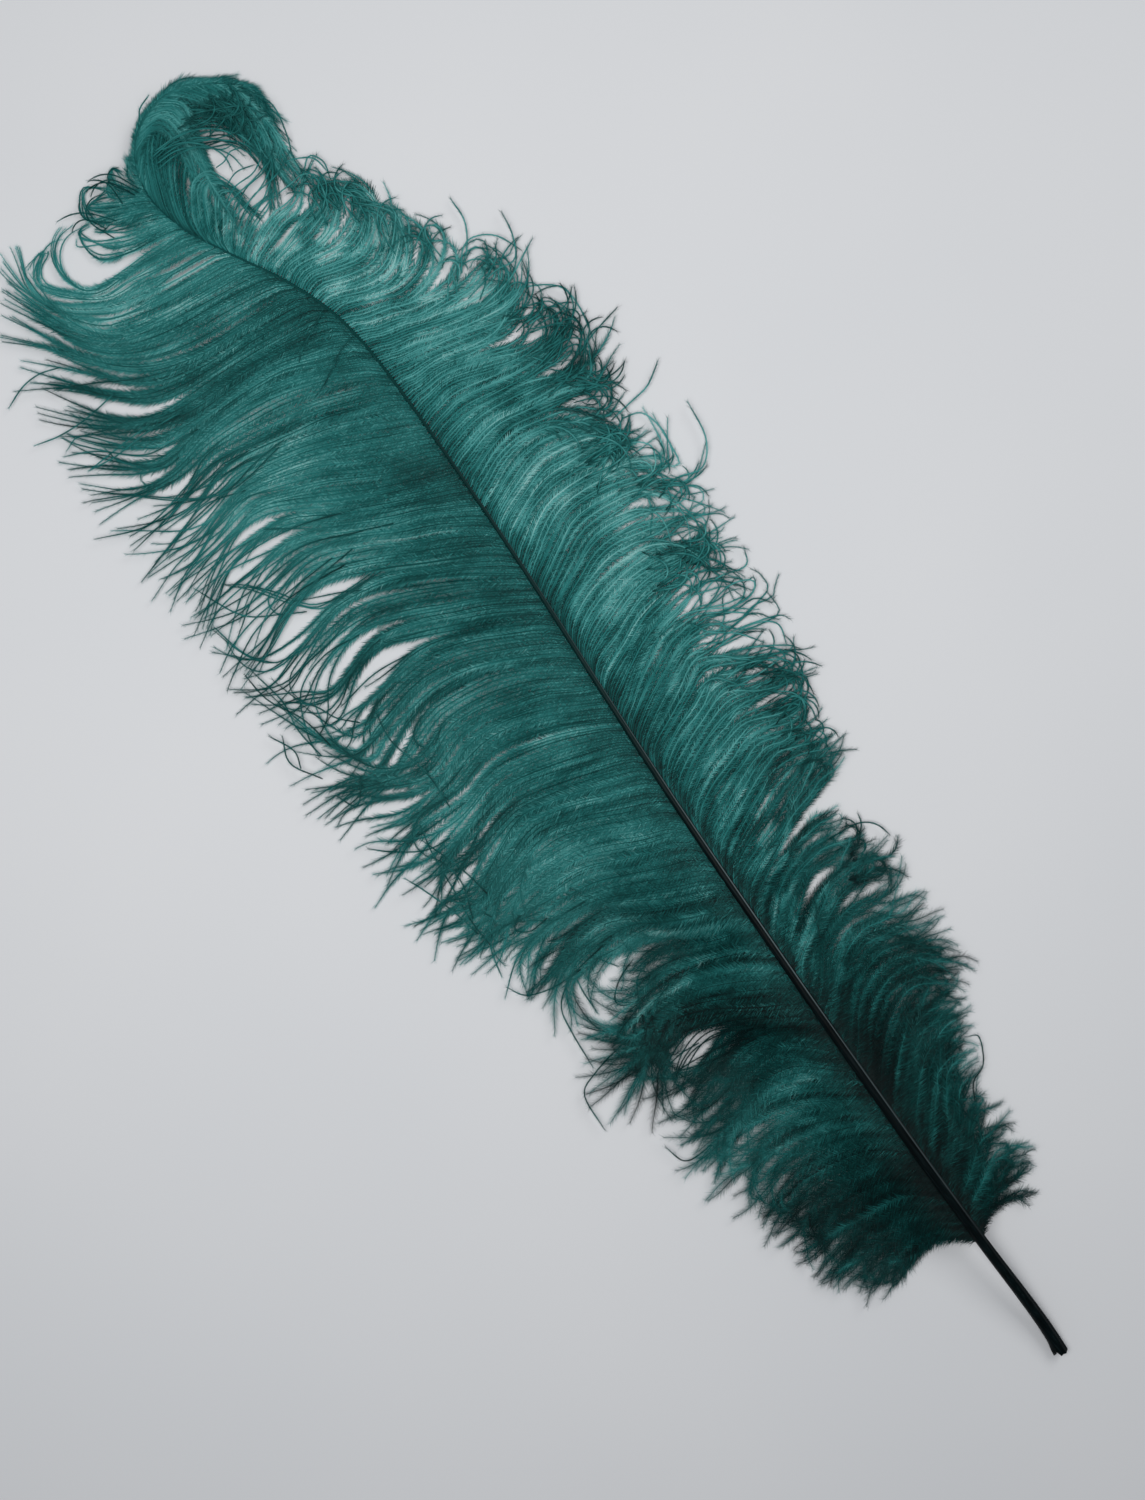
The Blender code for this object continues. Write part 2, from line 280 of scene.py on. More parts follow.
# Angles are degrees round the shaft from its right side, over the top.
shaftLook = {
    "sides": 32,
    "boreDepth": 9.0,  # mm
    "boreShare": 0.7,  # of the quill's radius
    "grooveAt": 42,
    "grooveWidth": 18,
    "grooveDepth": 0.14,  # of the radius
    # Each row of the next four is (mm along the shaft, value).
    # the first three place the painted highlight, a pale line along the shaft's lit flank
    "paintedHighlight": [(54, 0.0), (70, 0.3), (100, 0.45), (130, 0.55), (160, 0.9), (190, 1.0), (250, 1.0),
             (300, 0.75), (400, 0.5), (450, 0.0)],
    "paintedHighlightAt": [(70, 40), (130, 41), (160, 47), (200, 49), (450, 50)],
    "paintedHighlightWidth": [(70, 10), (120, 10), (160, 12), (200, 12), (450, 15)],
    "dyed": [(210, 0.0), (300, 0.3), (400, 0.4), (480, 0.7), (520, 1.0)],
    "cutEdge": [  # angle, mm that the torn edge stands past the cut
        (0, 0.5), (30, 1.2), (62, 1.6), (90, 1.2), (115, 1.5), (130, -0.6), (146, -1.3), (160, 0.3),
        (185, 0.8), (205, 0.6), (235, -0.5), (270, -1.4), (320, -0.4), (360, 0.5),
    ],
    "prong": (172, 30, 0.32),  # where the end splays out: angle, width, share of the radius
}


def aroundShaft(offsets, heading):
    # the angle of points round the shaft, from their offsets to its middle
    across = offsets[:, 0] * math.cos(heading) + offsets[:, 1] * math.sin(heading)
    return np.degrees(np.arctan2(offsets[:, 2], across)) % 360


def pointsOf(shaft):
    return np.array([vertex.co for vertex in shaft.data.vertices])


def growShaft(places, radii, headings):
    # rings from the quill to the tip, each pushed out of the one before
    bpy.ops.object.select_all(action="DESELECT")
    bpy.ops.mesh.primitive_circle_add(
        vertices=shaftLook["sides"], radius=radii[0],
        location=places[0], rotation=(math.pi / 2, 0, headings[0]),
    )
    shaft = bpy.context.object
    shaft.name = "shaft_horn"
    bpy.ops.object.transform_apply(location=True, rotation=True, scale=True)
    # a groove along the top, whose left wall catches the light
    offsets = pointsOf(shaft) - places[0]
    turns = aroundShaft(offsets, headings[0])
    inGroove = np.clip(1 - np.abs(turns - shaftLook["grooveAt"]) / shaftLook["grooveWidth"], 0, 1)
    for vertex, offset, depth in zip(shaft.data.vertices, offsets, shaftLook["grooveDepth"] * inGroove):
        vertex.co = places[0] + offset * (1 - depth)
    bpy.ops.object.mode_set(mode="EDIT")
    bpy.ops.mesh.select_all(action="SELECT")
    for k in range(1, len(places)):
        bpy.ops.mesh.extrude_region_move(TRANSFORM_OT_translate={"value": tuple(places[k] - places[k - 1])})
        size = radii[k] / radii[k - 1]
        bpy.ops.transform.resize(value=(size, size, size), center_override=tuple(places[k]))
        bpy.ops.transform.rotate(  # turns the other way with no window open
            value=headings[k - 1] - headings[k], orient_axis="Z", center_override=tuple(places[k]),
        )
    bpy.ops.mesh.edge_face_add()
    bpy.ops.mesh.select_all(action="DESELECT")
    bpy.ops.object.mode_set(mode="OBJECT")
    return shaft


def boreQuill(shaft, cut, inward):
    # the cut end gets a rim, a bore and the bore's floor
    for vertex in shaft.data.vertices:
        vertex.select = bool(abs((np.array(vertex.co) - cut) @ inward) < 0.1 * mm)
    bpy.ops.object.mode_set(mode="EDIT")
    bpy.ops.mesh.extrude_region_move()
    bpy.ops.transform.resize(value=(shaftLook["boreShare"],) * 3, center_override=tuple(cut))
    depth = (shaftLine[4, :3] - shaftLine[0, :3]) * mm
    depth *= shaftLook["boreDepth"] * mm / np.linalg.norm(depth)
    bpy.ops.mesh.extrude_region_move(TRANSFORM_OT_translate={"value": tuple(depth)})
    bpy.ops.mesh.edge_face_add()
    bpy.ops.mesh.select_all(action="SELECT")
    bpy.ops.mesh.normals_make_consistent(inside=False)
    bpy.ops.object.mode_set(mode="OBJECT")


def tearQuill(shaft, cut, inward, heading):
    # the cut edge is torn, and splays out on the left
    at, width, splay = shaftLook["prong"]
    for vertex in shaft.data.vertices:
        offset = np.array(vertex.co) - cut
        along = offset @ inward / mm
        turn = aroundShaft(offset[None, :], heading)[0]
        if abs(along) < 0.1:
            offset -= inward * np.interp(turn, *zip(*shaftLook["cutEdge"])) * mm
        out = splay * max(0.0, 1 - abs(turn - at) / width) * max(0.0, 1 - abs(along) / 5)
        vertex.co = cut + offset + (offset - inward * (offset @ inward)) * out


def tintShaft(shaft, places, headings, stations):
    # how much of the painted highlight, a pale line along the lit flank, and of the dye each point shows
    points = pointsOf(shaft)
    ring = np.linalg.norm(points[:, None, :2] - places[None, :, :2], axis=2).argmin(1)
    highlightShare, dyed = np.zeros(len(points)), np.zeros(len(points))
    for k, station in enumerate(stations):
        mine = ring == k
        turn = aroundShaft(points[mine] - places[k], headings[k])
        strength, at, width, dye = (
            np.interp(station, *zip(*shaftLook[name])) for name in ("paintedHighlight", "paintedHighlightAt", "paintedHighlightWidth", "dyed")
        )
        highlightShare[mine] = np.clip(1.4 * (1 - np.abs(turn - at) / width), 0, 1)
        highlightShare[mine] *= strength
        dyed[mine] = dye
    shaft.data.attributes.new("paintedHighlight", "FLOAT", "POINT").data.foreach_set("value", highlightShare.astype(np.float32))
    shaft.data.attributes.new("dyed", "FLOAT", "POINT").data.foreach_set("value", dyed.astype(np.float32))


def makeShaft(material):
    picks = [0, 1, 2, *range(3, len(shaftLine), 3)]
    rings = shaftLine[picks]
    places = toFrame(rings[:, :3])
    ahead = np.gradient(rings[:, :2], axis=0)
    headings = np.unwrap(np.arctan2(-ahead[:, 0], ahead[:, 1]))
    inward = np.array([-math.sin(headings[0]), math.cos(headings[0]), 0])
    shaft = growShaft(places, rings[:, 3] * mm, headings)
    boreQuill(shaft, places[0], inward)
    tearQuill(shaft, places[0], inward, headings[0])
    tintShaft(shaft, places, headings, shaftReached[picks])
    bpy.ops.object.shade_smooth_by_angle(angle=math.radians(50))
    shaft.data.materials.append(material)
    return shaft


# Barbs

fine = 72  # steps of a lock's course
even = np.linspace(0, 1, fine + 1)
segments = 28  # of a barb, shorter towards its tip
share = 1 - (1 - np.linspace(0, 1, segments + 1)) ** 1.5

# Each lock: mm along the shaft to its root, share of its length where it parts from the next lock,
# its course, its tips and, where it stands out, what it adds to the tone.
leftLocks = [
    (52, 0.9, [(-4, 57), (-12, 60.5), (-21, 59.5), (-30, 57)], [(-37, 58), (-35, 59), (-40, 60)]),
    (54, 0.9, [(-8, 62), (-18, 64), (-28, 62), (-37, 59)], [(-43, 60), (-41, 61), (-45, 62)]),
    (57, 0.9, [(-10, 67), (-22, 69), (-34, 67)], [(-49, 61), (-51, 66), (-48, 63)]),
    (62.5, 0.9, [(-12, 75), (-28, 77), (-40, 75)], [(-53, 69), (-54, 75), (-52, 72)]),
    (71, 0.9, [(-10, 83), (-30, 87), (-42, 85)], [(-56, 83), (-56, 88), (-54, 79)]),
    (80, 0.9, [(-10, 92), (-30, 96), (-42, 96)], [(-57, 93), (-58, 97), (-63, 96)]),
    (88.5, 0.9, [(-10, 101), (-30, 106), (-44, 106)], [(-62, 103), (-60, 108), (-57, 100)]),
    (97, 0.9, [(-10, 110), (-30, 116), (-44, 116)], [(-63, 113), (-59, 110), (-60, 117)]),
    (106, 0.85, [(-8, 118), (-28, 126), (-50, 125)], [(-69, 124), (-65, 119)]),
    (114.5, 0.75, [(-8, 126), (-28, 137), (-50, 135)], [(-64, 131), (-60, 127)]),
    (129.5, 0.8, [(-1, 137), (-11, 147), (-23, 149), (-32, 146), (-45, 142)], [(-69, 137), (-64, 134)]),
    (138, 0.8, [(0, 147), (-10, 155), (-22, 157), (-30, 155), (-45, 150)], [(-62, 148), (-58, 145)]),
    (145, 0.35, [(0, 153), (-10, 160), (-22, 163), (-30, 162), (-45, 159)],
     [(-60, 151), (-70, 153), (-56, 155)]),
    (157.5, 0.55, [(1, 164), (-9, 170), (-21, 179), (-31, 184), (-39, 185), (-46, 182)],
     [(-58, 160), (-62, 157), (-67, 157), (-72, 157), (-76, 164), (-80, 170), (-83, 177), (-82, 184),
      (-78, 190), (-74, 194)], -0.03),
    (171, 0.75, [(2, 177), (-8, 184), (-21, 190), (-31, 192), (-40, 193), (-55, 192)],
     [(-70, 202), (-64, 204), (-73, 197), (-66, 190)]),
    (182, 0.5, [(2, 190), (-8, 195), (-20, 199), (-32, 202)], [(-57, 199), (-51, 206), (-48, 209)]),
    (189, 0.85, [(3, 195), (-7, 199), (-18, 205), (-28, 209), (-36, 210)],
     [(-46, 211), (-41, 215), (-48, 206)], 0.06),
    (195, 0.9, [(3, 201), (-7, 206), (-19, 213), (-31, 218)], [(-43, 219), (-46, 223), (-40, 215)], 0.12),
    (200, 0.6, [(4, 206), (-7, 211), (-19, 218), (-30, 225), (-55, 223), (-66, 216)],
     [(-71, 190), (-76, 216), (-70, 220)]),
    (205, 0.6, [(4, 210), (-7, 214), (-18, 220), (-36, 231), (-60, 228)],
     [(-77, 232), (-74, 220), (-70, 226)]),
    (213, 0.6, [(4, 218), (-6, 223), (-18, 230), (-32, 237), (-50, 240), (-62, 241), (-72, 238)],
     [(-81, 231), (-78, 236)]),
    (229.5, 0.85, [(5, 236), (-5, 240), (-17, 246), (-31, 252), (-55, 253), (-72, 252)],
     [(-97, 252.5), (-95, 250), (-84, 248), (-76, 240)]),
    (240.5, 0.8, [(6, 246), (-4, 250), (-16, 257), (-30, 261), (-55, 262), (-70, 256)],
     [(-84, 256), (-90, 258), (-80, 252)]),
    (251.5, 0.8, [(7, 256), (-3, 261), (-15, 267), (-29, 272), (-37, 272), (-55, 267), (-72, 259)],
     [(-95, 260), (-89, 264), (-84, 262)]),
    (260, 0.8, [(8, 265), (-2, 269), (-15, 275), (-28, 279), (-37, 280), (-55, 272), (-70, 265), (-80, 270)],
     [(-101, 273), (-93, 268)]),
    (266.5, 0.8, [(8, 271), (-2, 275), (-14, 279), (-28, 283), (-37, 284), (-55, 281), (-70, 280)],
     [(-83, 275), (-86, 280)]),
    (271.5, 0.8, [(9, 276), (-1, 280), (-13, 285), (-28, 290), (-37, 290), (-45, 289), (-65, 284)],
     [(-90, 290), (-89, 282), (-84, 286)]),
    (278, 0.82, [(9, 282), (-1, 286), (-13, 290), (-27, 294), (-37, 295), (-45, 293), (-65, 289),
     (-82, 286)], [(-102, 291), (-94, 288)]),
    (286.5, 0.8, [(10, 291), (0, 297), (-12, 302), (-26, 306), (-37, 305), (-45, 303), (-62, 305),
     (-80, 307)], [(-96, 305.5), (-88, 303)]),
    (293.5, 0.82, [(11, 297), (1, 303), (-11, 309), (-25, 312), (-36, 311), (-55, 307),
     (-70, 306), (-82, 311)], [(-96, 314.5), (-90, 309)]),
    (301, 0.85, [(11, 304), (1, 311), (-11, 315), (-25, 319), (-36, 319), (-50, 314), (-62, 318),
     (-75, 330)], [(-93, 346), (-94, 338), (-97, 331)]),
    (312, 0.6, [(13, 317), (3, 324), (-9, 331), (-24, 334), (-37, 335), (-55, 330), (-66, 328), (-76, 334)],
     [(-92, 342), (-88, 348)]),
    (319, 0.8, [(13, 324), (3, 330), (-9, 336), (-23, 341), (-37, 342), (-60, 337), (-72, 337)],
     [(-83, 386), (-77, 388), (-90, 350)]),
    (326, 0.3, [(14, 332), (4, 338), (-8, 345), (-22, 350), (-37, 351), (-60, 349), (-68, 345), (-80, 348)],
     [(-97, 357), (-92, 356)]),
    (336.5, 0.32, [(15, 341), (5, 348), (-7, 354), (-21, 361), (-36, 366), (-50, 363.5),
     (-62, 360.5), (-72, 364)], [(-83, 386), (-103, 372), (-96, 366)]),
    (343.5, 0.8, [(16, 347), (5, 355), (-7, 361), (-20, 368), (-37, 374), (-60, 374), (-75, 371)],
     [(-94, 378), (-90, 374)]),
    (351, 0.85, [(16, 356), (6, 364), (-6, 372), (-20, 379), (-37, 384), (-60, 380), (-75, 377)],
     [(-99, 379), (-97, 385), (-92, 387)]),
    (355.5, 0.3, [(16, 361), (6, 368), (-5, 374), (-19, 382), (-37, 386), (-45, 386), (-60, 383),
     (-75, 381), (-85, 385)], [(-93, 397), (-95, 389)]),
    (362.5, 0.5, [(17, 368), (7, 374), (-5, 381), (-19, 389), (-36, 396), (-52, 396), (-68, 393)],
     [(-82, 386), (-92, 386), (-90, 393)]),
    (372.5, 0.3, [(18, 378), (8, 385), (-4, 391), (-18, 400), (-37, 408), (-55, 406), (-72, 404)],
     [(-96, 407.5), (-90, 402)]),
    (380, 0.4, [(18, 384), (8, 391), (-4, 396), (-18, 404), (-37, 414), (-60, 415), (-74, 413)],
     [(-89, 410.5), (-86, 414)]),
    (389, 0.4, [(19, 392), (9, 397), (-3, 403), (-17, 411), (-36, 423), (-58, 425), (-73, 422)],
     [(-88, 414.5), (-88, 418)]),
    (398.5, 0.5, [(20, 400), (10, 405), (-2, 411), (-16, 419), (-38, 431), (-52, 432), (-74, 430)],
     [(-91, 424), (-88, 427)]),
    (407, 0.8, [(20, 410), (10, 414), (-2, 421), (-16, 430), (-37, 438), (-45, 438), (-60, 435), (-75, 435)],
     [(-96, 430), (-83, 433), (-90, 428)]),
    (414, 0.5, [(20, 417), (10, 422), (-1, 428), (-16, 436), (-38, 442), (-50, 441), (-70, 438), (-80, 441)],
     [(-98, 447), (-94, 455), (-97, 450)]),
    (422, 0.6, [(21, 425), (11, 431), (-1, 437), (-15, 442), (-37, 447), (-45, 446), (-60, 445)],
     [(-78, 442), (-72, 446)], -0.06),
    (433, 0.62, [(21, 437), (11, 441), (-1, 446), (-15, 449), (-37, 454), (-45, 454), (-65, 450)],
     [(-87, 450), (-80, 448.5), (-96, 461.5)], -0.04),
    (443, 0.5, [(22, 448), (12, 454), (-1, 459), (-15, 463), (-37, 465), (-55, 463), (-65, 464), (-76, 469)],
     [(-93, 475), (-92, 479), (-88, 483)]),
    (450.5, 0.5, [(21, 456), (11, 460), (0, 466), (-15, 469), (-37, 470), (-55, 467), (-66, 471),
     (-77, 480)], [(-91, 492), (-88, 496), (-92, 487)]),
    (457, 0.5, [(21, 462), (11, 466), (-1, 470), (-15, 472), (-37, 473), (-52, 475), (-64, 482), (-73, 491)],
     [(-85, 506), (-87, 503), (-83, 509)]),
    (461.5, 0.5, [(21, 465), (11, 469), (-1, 473), (-15, 475), (-37, 476), (-51, 480), (-61, 487),
     (-71, 496)], [(-85, 513), (-82, 508), (-86, 510)]),
    (468, 0.45, [(20, 473), (10, 475), (-2, 477), (-16, 479), (-37, 480), (-50, 483), (-60, 490),
     (-69, 499)], [(-82, 515), (-79, 512), (-84, 517)]),
    (475, 0.5, [(19, 479), (9, 481), (-2, 483), (-17, 484), (-37, 487), (-48, 491), (-58, 500), (-68, 512)],
     [(-81, 527), (-86, 525), (-78, 522)]),
    (482, 0.5, [(17, 484), (6, 486), (-5, 488), (-20, 489), (-37, 493), (-48, 499), (-58, 510), (-67, 522)],
     [(-79, 538), (-82, 534), (-75, 533)]),
    (488, 0.55, [(15, 489), (5, 490), (-7, 491), (-21, 493), (-37, 499), (-48, 507), (-58, 519), (-65, 532)],
     [(-77, 546), (-74, 549)]),
    (493.5, 0.55, [(-2, 499), (-25, 503), (-43, 510), (-54, 521), (-61, 536)], [(-71, 554), (-69, 550)]),
    (504, 0.6, [(-5, 507), (-25, 510), (-43, 516), (-54, 529), (-60, 545)], [(-66, 560), (-63, 563)]),
    (512.5, 0.6, [(-5, 513), (-25, 517), (-42, 523), (-53, 536), (-59, 551)], [(-60, 566), (-62, 561)]),
    (520.5, 0.5, [(-8, 520), (-25, 523), (-40, 528), (-52, 538), (-57, 550)],
     [(-54, 571), (-50, 566), (-60, 562)]),
    (529, 0.25, [(-10, 529), (-25, 532), (-38, 533), (-47, 541), (-54, 552), (-42, 559)],
     [(-33, 556), (-62, 556)]),
    (535, 0.2, [(-10, 531), (-28, 533), (-40, 536), (-44, 545), (-42, 554), (-36, 559)], [(-26, 560)]),
    (538, 0.5, [(-8, 535.5), (-20, 538), (-30, 543), (-31, 556)], [(-23, 558)]),
    (542, 0.5, [(-8, 539), (-20, 543), (-31, 554)], [(-25, 557)]),
    (546, 0.5, [(-8, 544), (-20, 548)], [(-27, 553), (-24, 556)]),
    (550, 0.3, [(-6, 548), (-17, 553), (-25, 558), (-19, 568), (-12, 563)], [(-8, 558)]),
    (554, 0.4, [(-5, 551), (-15, 556), (-21, 561), (-10, 560)], [(-6, 556)]),
    (557.5, 0.4, [(-2, 553), (-9, 560), (-5, 567)], [(-3, 562)]),
    (560.5, 0.3, [(0, 555), (2, 566)], [(3, 561)]),
    (563.5, 0.9, [(2, 561), (11, 571.5), (20, 575)], [(30, 576), (26, 577)]),
    (567, 0.9, [(5, 565), (20, 575), (33, 576)], [(45, 569), (41, 572)]),
    (571, 0.9, [(8, 568.5), (15, 573), (24, 575.5), (36, 574.5), (45, 568.5)], [(52, 563), (50, 565)]),
    (577, 0.9, [(13, 572), (20, 575), (30, 575.8), (40, 572), (47, 567)], [(54, 561)]),
    (584, 0.9, [(20, 575), (36, 574), (44, 569)], [(54, 560), (50, 564)]),
    (593, 0.9, [(29, 575.5), (43, 569.5), (49, 564.5)], [(55, 560), (52, 560)]),
    (603, 0.7, [(38, 572.5), (53, 560)], [(56, 556), (54, 537)]),
    (613, 0.9, [(47, 566.5), (54, 558)], [(56, 553), (55, 548)]),
]

